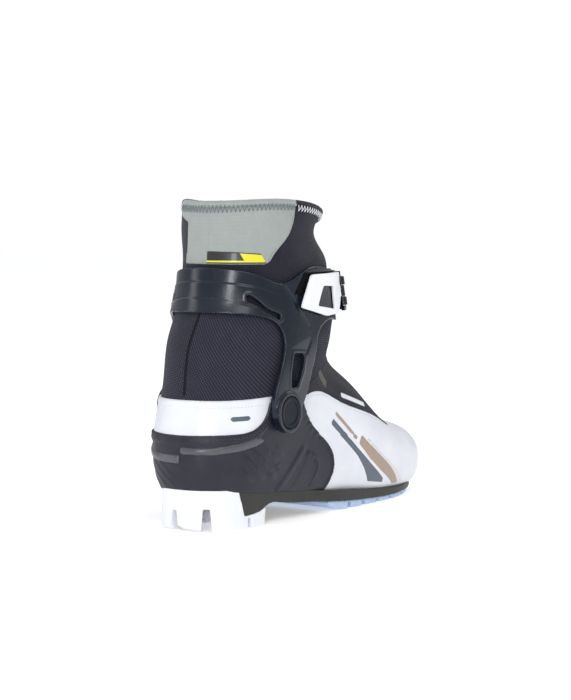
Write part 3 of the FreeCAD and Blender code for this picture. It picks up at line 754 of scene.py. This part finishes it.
def jersey(name, dark, light, rough=0.85, sheen=0.1, pitch=0.8, depth=0.12):
    """Fine jersey: small columns of loops with a brushed face."""
    m = Look(name, dark, rough, sheen_weight=sheen, sheen_roughness=0.5, specular_ior_level=0.12)
    u, v = m.cloth_axes()
    col = m.calc("ABSOLUTE", m.calc("SINE", m.calc("MULTIPLY", v, math.pi / pitch)))
    wave = m.calc("MULTIPLY_ADD", m.calc("SINE", m.calc("MULTIPLY", u, 2 * math.pi / pitch)), 0.3, 0.7)
    grain = m.noise(3.0, 4.0, 0.65)
    patches = m.noise(0.15, 4.0, 0.6)
    height = m.calc("MULTIPLY_ADD", grain, 0.7, m.calc("MULTIPLY", col, wave))
    # Colour follows the relief height: loop crests painted lighter and the hollows painted darker (painted
    # shade), mixed with random grain and patches.
    tone = m.calc("MULTIPLY", m.remap(height, 0.4, 1.6, 0.0, 1.0), m.remap(patches, 0.3, 0.7, 0.6, 1.15))
    m.tint(tone, dark, light)
    m.bump(height, depth)
    return m.mat


def leather(name, base, shade, rough=0.42):
    """Smooth coated synthetic leather with a fine pebble and faint creases."""
    m = Look(name, base, rough, coat_weight=0.12, coat_roughness=0.35)
    pebble = m.cells(1.5)
    fine = m.noise(1.2, 4.0, 0.6)
    crease = m.noise(0.12, 3.0, 0.55)
    wear = m.noise(0.035, 3.0, 0.6)
    m.tint(m.remap(wear, 0.35, 0.75), base, shade)
    m.rough(m.calc("MULTIPLY_ADD", fine, 0.22, rough - 0.1))
    first = m.bump(crease, 0.35, 0.5)
    m.bump(m.calc("MULTIPLY_ADD", fine, 0.6, pebble), 0.05, 0.7, first)
    return m.mat


def moulding(name, base, wear, rough, grain=1.4, depth=0.05, coat=0.0, streak=0.0, spec=0.5):
    """Moulded plastic or rubber: fine spark texture, tone changes and rubbed edges."""
    m = Look(name, base, rough, coat_weight=coat, coat_roughness=0.2, specular_ior_level=spec)
    spark = m.noise(grain, 3.0, 0.65)
    flow = m.noise(0.05, 4.0, 0.55)
    geo = m.node("NewGeometry")
    edge = m.remap(geo.outputs["Pointiness"], 0.52, 0.60)
    tone = m.calc("MAXIMUM", m.calc("MULTIPLY", edge, 0.7), m.remap(flow, 0.45, 0.8, 0.0, 0.5))
    m.tint(tone, base, wear)
    m.rough(m.calc("ADD", m.calc("MULTIPLY_ADD", spark, 0.16, rough - 0.08),
                   m.calc("MULTIPLY", m.remap(flow, 0.3, 0.7, -1.0, 1.0), 0.05 + streak)))
    m.bump(spark, depth, 0.6)
    return m.mat


def metal(name, base, rough):
    m = Look(name, base, rough, metallic=1.0)
    stretched = m.node("Mapping", Vector=m.place())
    stretched.inputs["Scale"].default_value = (3.0, 0.2, 3.0)
    lines = m.noise(1.0, 4.0, 0.6, stretched.outputs[0])
    m.tint(m.remap(lines, 0.3, 0.7), base, tuple(c * 0.75 for c in base))
    m.rough(m.calc("MULTIPLY_ADD", lines, 0.25, rough - 0.1))
    m.bump(lines, 0.02, 0.5)
    return m.mat


def thread(name, base):
    m = Look(name, base, 0.6, sheen_weight=0.2)
    twist = m.noise(4.0, 2.0, 0.5)
    m.tint(m.remap(twist, 0.3, 0.7), base, tuple(c * 0.7 for c in base))
    m.bump(twist, 0.08, 0.8)
    return m.mat


def hooks(name, base, tip):
    m = Look(name, base, 0.8, specular_ior_level=0.1)
    dots = m.cells(1.1)
    fluff = m.noise(3.5, 3.0, 0.7)
    # Hook heads painted lighter and the gaps between them darker, following the relief (painted shade), with
    # random fluff.
    m.tint(m.calc("MULTIPLY", m.remap(dots, 0.45, 0.1), fluff), base, tip)
    m.bump(m.calc("ADD", m.remap(dots, 0.5, 0.05), m.calc("MULTIPLY", fluff, 0.5)), 0.5)
    return m.mat


def two_tone(name):
    """Plain two-tone film: yellow in front and along the foot, black border."""
    m = Look(name, (0.015, 0.015, 0.017), 0.35, coat_weight=0.3)
    parts = m.node("SeparateXYZ", Vector=m.place())
    x = m.calc("SUBTRACT", parts.outputs[0], float(HOME[0]))
    z = m.calc("SUBTRACT", parts.outputs[2], float(HOME[2]))
    front = m.remap(m.calc("MULTIPLY_ADD", z, 0.32, x), 103.0, 103.3)
    foot = m.remap(z, 185.6, 185.4)
    top = m.remap(m.calc("MULTIPLY_ADD", x, 0.1, z), 194.8, 194.6)
    low = m.remap(z, 184.2, 184.4)
    tail = m.remap(m.calc("MULTIPLY_ADD", z, 0.5, x), 148.6, 148.3)
    fill = m.calc("MULTIPLY", m.calc("MULTIPLY", m.calc("MAXIMUM", front, foot), top),
                  m.calc("MULTIPLY", low, tail))
    grain = m.noise(1.5, 2.0, 0.5)
    yellow = m.blend_color(grain, (0.72, 0.66, 0.02), (0.60, 0.56, 0.02))
    m.tint(fill, (0.015, 0.015, 0.017), yellow)
    m.rough(m.calc("MULTIPLY_ADD", grain, 0.2, 0.28))
    m.bump(grain, 0.03, 0.4)
    return m.mat


WHITE = leather("white_leather", (0.71, 0.725, 0.77), (0.635, 0.65, 0.705))
COUNTER = moulding("counter_rubber", (0.014, 0.014, 0.024), (0.04, 0.04, 0.058), 0.48, 1.8, 0.08, spec=0.32)
SOFTSHELL = jersey("softshell", (0.007, 0.007, 0.012), (0.036, 0.036, 0.056), pitch=1.1, depth=0.18)
MESH = knit("ribbed_mesh", (0.011, 0.011, 0.018), (0.074, 0.075, 0.115), 1.35, 50.0, 1.25, 0.28)
SAGE = jersey("sage_jersey", (0.25, 0.275, 0.265), (0.39, 0.425, 0.41), sheen=0.2)
LINING = jersey("brushed_lining", (0.014, 0.014, 0.016), (0.04, 0.04, 0.045), pitch=1.4, depth=0.25)
CUFF = moulding("cuff_plastic", (0.005, 0.0085, 0.017), (0.009, 0.015, 0.027), 0.24, 3.0, 0.006,
                streak=0.02, spec=0.42)
CAP = moulding("cap_plastic", (0.004, 0.007, 0.013), (0.008, 0.012, 0.021), 0.42, 3.0, 0.01, spec=0.15)
PLATE = moulding("sole_plate", (0.022, 0.023, 0.020), (0.05, 0.052, 0.047), 0.48, 1.6, 0.05, spec=0.35)
HEEL_WHITE = moulding("white_rubber", (0.76, 0.775, 0.81), (0.68, 0.70, 0.75), 0.5, 1.2, 0.06)
TREAD_BLUE = moulding("pale_blue_rubber", (0.42, 0.53, 0.72), (0.33, 0.44, 0.64), 0.5, 1.2, 0.06)
TAB_WHITE = moulding("tab_plastic", (0.80, 0.81, 0.84), (0.70, 0.72, 0.76), 0.36, 1.5, 0.02, 0.1)
SLATE = moulding("slate_film", (0.075, 0.10, 0.13), (0.10, 0.13, 0.16), 0.4, 1.2, 0.03)
BRONZE = moulding("bronze_film", (0.33, 0.245, 0.19), (0.40, 0.31, 0.25), 0.38, 1.6, 0.04)
PALE = moulding("pale_film", (0.62, 0.61, 0.62), (0.66, 0.65, 0.66), 0.4, 1.6, 0.04)
OLIVE = knit("olive_webbing", (0.10, 0.10, 0.075), (0.19, 0.19, 0.145), 0.9, 45.0, 0.9, 0.15)
TAPE = knit("zip_tape_weave", (0.012, 0.012, 0.016), (0.03, 0.03, 0.038), 0.8, 45.0, 0.8, 0.15)
STEEL = metal("ground_steel", (0.6, 0.6, 0.6), 0.35)
ENAMEL = moulding("black_enamel", (0.02, 0.02, 0.024), (0.07, 0.07, 0.075), 0.3, 2.0, 0.02, 0.4)
BOARD = moulding("fibre_board", (0.26, 0.24, 0.20), (0.34, 0.31, 0.26), 0.75, 0.8, 0.1)
FELT = jersey("footbed_felt", (0.14, 0.15, 0.16), (0.24, 0.25, 0.26), pitch=1.0, depth=0.2)
HOOKS = hooks("hook_pad_face", (0.003, 0.003, 0.005), (0.035, 0.035, 0.042))
# Lighter copy of the counter rubber for the raised counter strips: a painted highlight for the light their
# step catches.
LIP_PAINTED_HIGHLIGHT = moulding("lip_rubber_painted_highlight", (0.055, 0.055, 0.068), (0.095, 0.095, 0.11), 0.34, 1.8, 0.04, spec=0.6)
LABEL = two_tone("plain_label")
THREAD_WHITE = thread("thread_white", (0.72, 0.74, 0.78))
THREAD_SLATE = thread("thread_slate", (0.16, 0.19, 0.21))
THREAD_DARK = thread("thread_dark", (0.02, 0.02, 0.024))
THREAD_GREY = thread("thread_grey", (0.55, 0.57, 0.62))


def finish_piece(obj, body, mats, stands_for=(), slot=None):
    """Give a piece its materials and its body, and hide the CAD nodes it stands for; with no body its
    placement is baked into its mesh.
    """
    obj.data.materials.clear()
    for m in mats:
        obj.data.materials.append(m)
    if body is None:
        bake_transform(obj)
    else:
        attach(obj, body)
    if stands_for:
        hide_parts(*stands_for)
    return obj


def softened(node, name, voxel, rounds, look, body, relief=None):
    """A moulded copy that takes the place of its CAD node."""
    return finish_piece(moulded(node, name, voxel, rounds, relief), body, [look], (node,), node)


def face_centres(obj):
    """Centres of an object's faces in design millimetres."""
    return design(rows_of(obj.data.polygons, "center"))


# ---- the upper ----
WHITE_TOP = 1.05         # height of the white panels above the CAD surface
LIP = 6.0                # width of the counter's raised lip
RIB_PITCH = 7.6          # of the diagonal ribs on the counter
FOLD = ((101, 47), (110, 43), (114, 36), (108, 24))
TUCK = 3.0               # how far a lower panel runs in under the one above it


def counter_relief(x, y, z, d):
    """Raised lip with its groove, piping, diagonal ribs, two folds, back seam and raked lines."""
    edge = line_distance(panel_front, x, z)
    h = 1.1 * fade(edge, LIP - 0.9, LIP + 0.4)
    h = h - 0.45 * fade(np.abs(edge - 3.0), 0.2, 0.8)
    piping = line_distance(vamp_rear, x, z)
    h = h + 0.8 * fade(piping, 1.4, 2.4) - 0.25 * fade(np.abs(piping - 3.0), 0.3, 0.8)
    slant = (x - 6) * 0.62 + (z - 28) * 0.78
    wave = 0.5 + 0.5 * np.sin(slant * 2 * math.pi / RIB_PITCH)
    patch = ramp(x, 24, 34) * fade(x, 62, 74) * ramp(z, 32, 38) * fade(z, 50, 60)
    h = h + 1.3 * ramp(wave, 0.5, 0.8) * patch
    h = h + ridge([(94, 50), (84, 40), (70, 24)], x, z, 6.0, 0.9)
    h = h + ridge(FOLD, x, z, 3.0, 0.9)
    h = h + 0.35 * ramp(outline(FOLD + ((86, 24),))(x, y, z), 0.6, -0.8)
    seam = np.abs(y - 1.0) + 6 * ramp(x, 20, 24)
    h = h - 0.5 * fade(seam, 0.3, 1.0) * fade(z, 54, 58)
    rake = np.where(y > 3, np.abs(((z - 0.8 * np.abs(y)) % 6.5) - 3.2), 9.0)
    h = h + 0.4 * fade(rake, 0.8, 1.8) * fade(x, 10, 18) * ramp(z, 30, 34) * fade(z, 48, 54)
    return h


def panel_relief(x, y, z, d):
    top = level(sleeve_low, x) - z
    groove = 0.25 * fade(np.abs(top - 1.8), 0.3, 0.8) * ramp(d, 0.6, 1.4)
    return 0.35 * fade(top, 3.4, 4.6) - groove


def vamp_relief(x, y, z, d):
    return -0.18 * fade(np.abs(d - 2.4), 0.2, 0.8)


def cover_relief(x, y, z, d):
    fold = line_distance([(150, 112), (160, 109), (172, 110)], x, z)
    return -0.5 * fade(fold, 0.5, 4.0) + 0.3 * np.sin(0.35 * (z + 0.6 * x)) * ramp(d, 2, 8)


def sleeve_relief(x, y, z, d):
    return 0.35 * np.sin(0.21 * z + 0.05 * x) * ramp(d, 3, 12) * ramp(x, 100, 140)


def sleeve_sink(x, y, z):
    """Lets the mesh run in under the shaft's lower edge."""
    return 0.8 * ramp(z - level(shaft_low, x), -2.5, -0.5)


def shaft_sink(x, y, z):
    """Soft waves shared by the softshell, the collar and the label."""
    return -0.3 * np.sin(0.16 * x + 0.11 * z)


def vamp_wave(x, y, z):
    return -0.12 * np.sin(x * 0.11 + z * 0.05)


def panel(name, field, base, thick, roll, look, body, nodes, **more):
    """A piece of the upper that stands for CAD nodes, which are hidden; with no body its placement is baked
    into its mesh.
    """
    piece = skin_piece(name, field, base, thick, roll, **more)
    return finish_piece(piece, body, [look], nodes, nodes[0])


sock = panel("inner_sock", both(over(sole_top, 2.4), under(rim_top, -1.6)), -2.9, 1.9, 1.6, LINING, None,
             ("foot_lining", "shaft_lining"), inner=-4.8)

panel("ankle_mesh", both(over(sleeve_low, -4.0), under(shaft_low, 4.0)), -0.9, 0.9, 0.8, MESH, None,
      ("ankle_sleeve",), relief=sleeve_relief, sink=sleeve_sink)
panel("shaft_softshell", both(over(shaft_low), under(rim_top, -SEAM_LOW + 1.0)), -0.8, 1.0, 0.9, SOFTSHELL,
      "cuff", ("shaft_shell",), sink=shaft_sink)
panel("collar_facing", both(collar_zone, over(shaft_low, 12.0), under(rim_top, -SEAM_LOW + 0.6)), 0.35, 0.5,
      0.7, SAGE, "cuff", ("collar_panel",), sink=shaft_sink)

rim = skin_piece("collar_edging", both(over(rim_top, -SEAM_LOW), under(rim_top)), -1.5, 2.6, 2.2, inner=-5.0)
finish_piece(rim, "cuff", [SAGE, SOFTSHELL], ("collar_binding",), "collar_binding")
centres = face_centres(rim)
front = grown(collar_zone, 0.2)(centres[:, 0], centres[:, 1], np.minimum(centres[:, 2], 225.0)) > 0
rim.data.polygons.foreach_set("material_index", front.astype(np.int32))

panel("instep_softshell", both(either(cover_zone, both(grown(cover_zone, TUCK), vamp_zone)), above_sole),
      -0.6, 0.9, 0.9, SOFTSHELL, "boot", ("instep_cover",), relief=cover_relief)
panel("white_vamp", both(either(vamp_zone, both(grown(vamp_zone, TUCK), counter_zone)), above_sole),
      0.35, WHITE_TOP - 0.35, 0.9, WHITE, "boot", ("vamp_shell",), relief=vamp_relief, sink=vamp_wave)
panel("white_heel_panel", either(panel_zone, both(grown(panel_zone, TUCK), counter_zone)),
      0.1, WHITE_TOP - 0.1, 0.9, WHITE, "boot", ("heel_panel",), relief=panel_relief)
panel("heel_cup", both(counter_zone, above_sole), WHITE_TOP + 0.12, 0.3, 0.9, COUNTER, "boot",
      ("heel_counter",), relief=counter_relief, depth=2.4)

STRIP = ((-6, 54.8), (2.6, 54.1), (8, 54), (25.5, 55.6), (38, 57.7), (44, 59.8), (47.5, 61.8), (44, 64.8),
         (37.7, 64.6), (25.3, 61.6), (8, 59), (2.7, 59), (-6, 59.8))
BACK_STRIP = ((-6, 47.5), (-6, 53.2), (3, 54), (14, 56), (26, 60), (26, 57), (14, 51.5), (3, 48.2))
strip_zone = either(one_side(outline(STRIP), -1, -2.9),
                    one_side(outline(BACK_STRIP), 1, 2.4))
# The raised strips get the lighter lip rubber, a painted highlight standing for the light caught by their
# step.
strip = skin_piece("counter_strip", strip_zone, WHITE_TOP + 0.3, 1.2, 1.3, depth=1.0)
finish_piece(strip, "boot", [LIP_PAINTED_HIGHLIGHT], (), "heel_counter")

LABEL_SHAPE = ((-20, 183.6), (57.3, 183.4), (53.9, 190.1), (36.4, 191.8), (-20, 191.9))
panel("plain_label", one_side(outline(LABEL_SHAPE), -1, 0.5), 0.9, 0.45, 0.5, LABEL, "cuff",
      ("label_patch",), depth=0.6, sink=shaft_sink)

# Films and plain bars on the vamp, the cover and the heel panel.
SLATE_WEDGE = ((133.4, 69), (130.6, 65.3), (144.9, 52.9), (160.9, 39.6), (170, 29.6), (178.5, 18.5),
               (198.5, 15.5), (197.6, 18.6), (179, 31.5), (160.9, 45.5), (146.4, 57.7))
BRONZE_BAND = ((166, 54), (163, 48), (176.5, 36.1), (193, 24.7), (214, 12.8), (222, 13), (204.5, 27.2),
               (187, 39), (175, 47.5))
PALE_BAND = ((167, 54.5), (175, 47.5), (187, 39), (204.5, 27.2), (222, 13), (231, 13), (209.5, 26.5),
             (190.5, 39.2), (177.5, 49))
TAN_BAR = ((136.2, 71.5), (148, 61), (159.7, 50.5), (161.5, 52.5), (149.8, 63), (138, 73.5))
EDGE_BAR = ((150, 83), (165, 78.3), (180, 73.4), (181, 76.4), (166, 81.3), (151, 86.2))
HEEL_BAR = ((21, 76.2), (33, 76.4), (34.2, 78), (33, 79.6), (21, 79.4), (19.8, 77.8))
films = (("slate_wedge", SLATE_WEDGE, SLATE, "slate_stripe", 0.02, 0.10, vamp_wave),
         ("pale_edge", PALE_BAND, PALE, None, 0.02, 0.06, vamp_wave),
         ("bronze_band", BRONZE_BAND, BRONZE, "tan_stripe", 0.10, 0.10, vamp_wave),
         ("tan_bar", TAN_BAR, BRONZE, None, 0.02, 0.12, vamp_wave),
         ("white_edge_bar", EDGE_BAR, WHITE, None, -0.45, 0.12, None),
         ("heel_bar", HEEL_BAR, SLATE, None, 0.02, 0.10, None))
for name, shape, look, node, lift, rise, wave in films:
    film = skin_piece(name, one_side(outline(shape), -1), WHITE_TOP + lift, rise, 0.25, depth=0.5, sink=wave)
    finish_piece(film, "boot", [look], (node,) if node else (), node or "tan_stripe")


# ---- sewing ----
def sewn(name, parts, look, body, nodes=()):
    piece = build(name, *join_meshes(parts))
    return finish_piece(piece, body, [look], nodes, *nodes)


def cut_line(line, low_x=-1e9, high_x=1e9, low_z=-1e9, high_z=1e9):
    keep = (line[:, 0] > low_x) & (line[:, 0] < high_x) & (line[:, 1] > low_z) & (line[:, 1] < high_z)
    return line[keep]


def stitched(line, side, height, length, gap, radius):
    path, n = on_skin(line, side, 0.8, height)
    return stitch_parts(path, n, length, gap, radius)


white_rows, dark_rows = [], []
for side in (-1, 1):
    for inset in (2.0, 4.9):
        row = cut_line(sleeve_low, 2.5, 49) - np.array([0, inset])
        white_rows += stitched(row, side, WHITE_TOP - 0.05, 2.0, 0.8, 0.26)
    for row in (beside(cut_line(vamp_top, 97, 218), -2.4), beside(cut_line(vamp_rear, 99, 135, 20, 78), 2.6)):
        white_rows += stitched(row, side, WHITE_TOP - 0.1, 2.2, 0.9, 0.24)
    dark_rows += stitched(beside(cut_line(panel_front, 2, 52.5), -3.0), side, 2.25, 2.4, 0.9, 0.28)
sewn("white_stitching", white_rows, THREAD_GREY, "boot")
sewn("counter_stitching", dark_rows, THREAD_DARK, "boot")

ring = rim_ring(SEAM_LOW + 0.3)
ring_x = skin(ring[1], ring[0])[:, 0]
LATERAL_END, MEDIAL_END = 79.0, 48.5      # x of the two ends of the grey stretch of the rim
lateral = ring[0][(ring[0] > A_FIRST) & (ring_x < LATERAL_END)].max()
medial = ring[0][(ring[0] < A_FIRST) & (ring_x < MEDIAL_END)].min()
sewn("rim_zigzag_slate", zigzag_parts(ring, medial, lateral, 4.2, 2.9, 1.55, 0.3), THREAD_SLATE, "cuff")
white_zig = zigzag_parts(ring, lateral + 0.05, 3 * math.pi, 4.4, 3.3, 1.45)
white_zig += zigzag_parts(ring, -3 * math.pi, medial - 0.05, 4.4, 3.3, 1.45)
sewn("rim_zigzag_white", white_zig, THREAD_WHITE, "cuff")

edge_rows = stitched(beside(cut_line(collar_front, 57, 81, 184, 219), 1.8), -1, 0.85, 2.0, 0.8, 0.22)
sewn("collar_stitching", edge_rows, SAGE, "cuff")

# Piping down the middle of the back.
back_t = np.linspace(*np.interp((94.0, 153.0), *np.array([
    (skin(v, A_FIRST)[0, 2], v) for v in KNOTS[11:15]]).T), 60)
back_n = outward(back_t, np.full(60, A_FIRST))
back_p = skin(back_t, np.full(60, A_FIRST))
sewn("back_piping", [tube_mesh(back_p + back_n * 0.2, back_n, 1.1, 0.8, 10)], SOFTSHELL, None)
seam_rows = []
for shift in (-0.055, 0.055):
    a = np.full(60, A_FIRST + shift)
    n = outward(back_t, a)
    seam_rows += stitch_parts(skin(back_t, a) + n * 0.1, n, 2.2, 0.9, 0.22)
sewn("back_stitching", seam_rows, THREAD_DARK, None)

# Tape and zip on the instep.
softened("instep_tape", "olive_tape", 0.35, 2, OLIVE, "boot")
softened("zip_tape", "zip_band", 0.4, 2, TAPE, "boot")
zip_box = design(np.array(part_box("zip_chain"), float))
ZIP_Y = 12.0
teeth = []
coil_t = np.linspace(0, T_END, 900)
coil_a = np.full(900, math.pi / 2)
for _ in range(12):
    here = skin(coil_t, coil_a)
    coil_a = coil_a + (ZIP_Y - here[:, 1]) / 45.0
here = skin(coil_t, coil_a)
keep = ((here[:, 0] > zip_box[0][0] + 1) & (here[:, 0] < zip_box[1][0] - 1)
        & (here[:, 2] > zip_box[0][2] + 0.5) & (here[:, 2] < zip_box[1][2] - 1))
coil = resample(here[keep], 1.5)
coil_n = outward(coil_t[keep], coil_a[keep])
coil_n = columns_at(np.linspace(0, 1, len(coil)), np.linspace(0, 1, keep.sum()), coil_n)
for k, (p, n) in enumerate(zip(coil, coil_n)):
    lean = np.array([0.25, 1.0, 0.0]) if k % 2 else np.array([-0.25, 1.0, 0.0])
    s = np.linspace(-1.9, 1.9, 7)
    arc = p + lean * s[:, None] + n * (1.1 + 0.35 * (1 - (s / 1.9) ** 2))[:, None]
    teeth.append(tube_mesh(arc, np.tile(n, (7, 1)), 0.42, 1.0, 6))
sewn("zip_coil", teeth, ENAMEL, "boot", ("zip_chain",))


# ---- cuff, closure and sole ----
STEP_HIGH = np.array([(-30, 173), (10, 172.5), (30, 171), (48, 167), (66, 159)], float)
STEP_LOW = np.array([(-30, 162), (10, 161.5), (28, 159.5), (44, 153.5), (54, 146), (62, 136)], float)
SLOT_REAR = smooth(((39.8, 158.6), (41.6, 162.4), (45.2, 160.2), (49.6, 155), (54.6, 150.9), (60.5, 147),
                    (58.9, 144.6), (53, 147.4), (47.8, 150.6), (42.4, 155.8), (39.8, 158.6)))
SLOT_ARM = ((69.6, 121), (82.6, 120), (80.8, 108.4), (75.2, 96.6), (66.2, 97), (66.4, 108), (69.6, 121))
TAB_WHITE_END = 133.0
PAD_EDGE = 161.5         # lower edge of the hook pad that shows
ARM_CREASE = ((62, 172), (72, 160), (80, 148), (90, 138))


def facing_out(x, y, n):
    """Positive where a normal points away from the leg's middle."""
    return n[:, 0] * (x - 92) / 60 + n[:, 1] * y / 45


def cuff_relief(x, y, z, n):
    outer_face = ramp(facing_out(x, y, n), 0.2, 0.6)
    ring = ramp(z, 140, 146) * fade(x, 50, 66)
    high = level(STEP_HIGH, x) - z
    low = level(STEP_LOW, x) - z
    h = 0.55 * ramp(high, -0.7, 0.7) * ring - 0.5 * ramp(low, -0.7, 0.7) * ring
    rear = line_distance(SLOT_REAR, x, z)
    arm = line_distance(SLOT_ARM, x, z)
    h = h + 0.35 * fade(rear, 1.0, 2.4) + 0.25 * fade(arm, 1.6, 3.0)
    h = h - 0.35 * fade(line_distance(ARM_CREASE, x, z), 0.3, 1.6)
    return h * outer_face


def pad_relief(x, y, z, n):
    """Thickens the thin hook pad, and lets its face run into the cuff along a straight lower edge."""
    sunk = 1.4 * fade(z, PAD_EDGE - 0.4, PAD_EDGE + 0.4)
    return np.where(facing_out(x, y, n) > 0, 0.2 - sunk, sunk)


softened("cuff_shell", "moulded_cuff", 0.6, 3, CUFF, "cuff", cuff_relief)
for node, name, voxel, look, body in (
        ("pivot_rivets", "pivot_caps", 0.4, CAP, "boot"),
        ("outsole_plate", "sole_plate", 0.55, PLATE, "boot"),
        ("heel_tread", "heel_lugs", 0.55, HEEL_WHITE, "boot"),
        ("forefoot_tread", "forefoot_lugs", 0.55, TREAD_BLUE, "boot"),
        ("footbed", "felt_footbed", 0.8, FELT, "boot"),
        ("hook_pad", "hook_face", 0.35, HOOKS, "cuff"),
        ("strap_anchor", "strap_base", 0.4, CUFF, "cuff"),
        ("cuff_strap", "closing_strap", 0.4, CUFF, "strap"),
        ("tab_keeper", "tab_hinge_base", 0.3, CUFF, "strap"),
        ("strap_tab", "white_tab", 0.35, TAB_WHITE, "tab")):
    piece = softened(node, name, voxel, 3, look, body, pad_relief if node == "hook_pad" else None)
    if node == "strap_tab":
        piece.data.materials.append(CUFF)
        at = face_centres(piece)
        piece.data.polygons.foreach_set("material_index", (at[:, 0] > TAB_WHITE_END).astype(np.int32))

for names, look in ((("toe_bar", "shank_plate", "strap_pin", "tab_pin"), STEEL),
                    (("zip_slider", "zip_pull"), ENAMEL),
                    (("toe_puff", "heel_stiffener", "lasting_board", "pivot_washers"), BOARD)):
    for name in names:
        obj = cad_objects[name]
        if not obj.material_slots:
            obj.data.materials.append(look)
        for place in obj.material_slots:
            place.material = look


# ---- camera, light and floor ----
VIEW_AZ = 56.0
VIEW_EL = 4.2
LENS_MM = 99.82
CAM_AT = (-1050.2, -797.2, 222.1)
DOME_LOW = 0.30          # strength of the light dome below and above
DOME_HIGH = 0.92
FLOOR_GLOW = 0.32
FLOOR_HALF = 6.0
LIGHTS = (("key", (-0.9, -1.2, 1.3), (0, 0, 0.1), (0.7, 0.7), 5.0),
          ("strip", (-1.5, -0.72, 0.58), (0, 0, 0.14), (0.3, 1.15), 12.0),
          ("side", (-0.9, 1.3, 0.6), (0, 0, 0.12), (0.35, 1.2), 3.5),
          ("rim", (1.1, -0.5, 1.1), (0, 0, 0.12), (0.8, 0.8), 4.0))


def add_camera():
    cam_data = bpy.data.cameras.new("camera")
    cam = link(bpy.data.objects.new("camera", cam_data))
    cam_data.sensor_width = 36.0
    cam_data.lens = LENS_MM
    cam_data.clip_start = 0.05
    az, el = math.radians(VIEW_AZ), math.radians(VIEW_EL)
    forward = Vector((math.sin(az) * math.cos(el), math.cos(az) * math.cos(el), -math.sin(el)))
    cam.rotation_euler = forward.to_track_quat("-Z", "Y").to_euler()
    cam.location = Vector(world(CAM_AT))
    bpy.context.scene.camera = cam


def area_light(name, at, look, size, power):
    data = bpy.data.lights.new(name, "AREA")
    data.shape = "RECTANGLE"
    data.size, data.size_y = size
    data.energy = power
    lamp = link(bpy.data.objects.new(name, data))
    lamp.location = Vector(at)
    lamp.rotation_euler = (Vector(look) - Vector(at)).to_track_quat("-Z", "Y").to_euler()


def add_world():
    """The camera sees plain white; the boot is lit by a softer dome, brighter above."""
    studio = bpy.data.worlds.new("studio")
    bpy.context.scene.world = studio
    studio.use_nodes = True
    tree = studio.node_tree
    dome = tree.nodes["Background"]
    coord, parts, grade, seen, path, mix = (tree.nodes.new("ShaderNode" + kind) for kind in (
        "TexCoord", "SeparateXYZ", "MapRange", "Background", "LightPath", "MixShader"))
    dome.inputs["Color"].default_value = (0.97, 0.98, 1.0, 1)
    seen.inputs["Color"].default_value = (1, 1, 1, 1)
    for key, value in (("From Min", -0.2), ("From Max", 1.0), ("To Min", DOME_LOW), ("To Max", DOME_HIGH)):
        grade.inputs[key].default_value = value
    for source, target in ((coord.outputs["Generated"], parts.inputs[0]),
                           (parts.outputs[2], grade.inputs["Value"]),
                           (grade.outputs["Result"], dome.inputs["Strength"]),
                           (path.outputs["Is Camera Ray"], mix.inputs[0]),
                           (dome.outputs[0], mix.inputs[1]),
                           (seen.outputs[0], mix.inputs[2]),
                           (mix.outputs[0], tree.nodes["World Output"].inputs["Surface"])):
        tree.links.new(source, target)


def add_stage():
    look = Look("floor_paper", (0.93, 0.93, 0.93), 0.95, specular_ior_level=0.0, emission_color=(1, 1, 1, 1),
                emission_strength=FLOOR_GLOW)
    look.bump(look.noise(0.8, 3.0), 0.05, 0.2)
    mesh = bpy.data.meshes.new("floor")
    r = FLOOR_HALF
    mesh.from_pydata([(-r, -r, 0), (r, -r, 0), (r, r, 0), (-r, r, 0)], [], [(0, 1, 2, 3)])
    mesh.materials.append(look.mat)
    link(bpy.data.objects.new("floor", mesh))
    for light in LIGHTS:
        area_light(*light)
    bpy.context.scene.view_settings.view_transform = "Standard"


add_camera()
add_world()
add_stage()
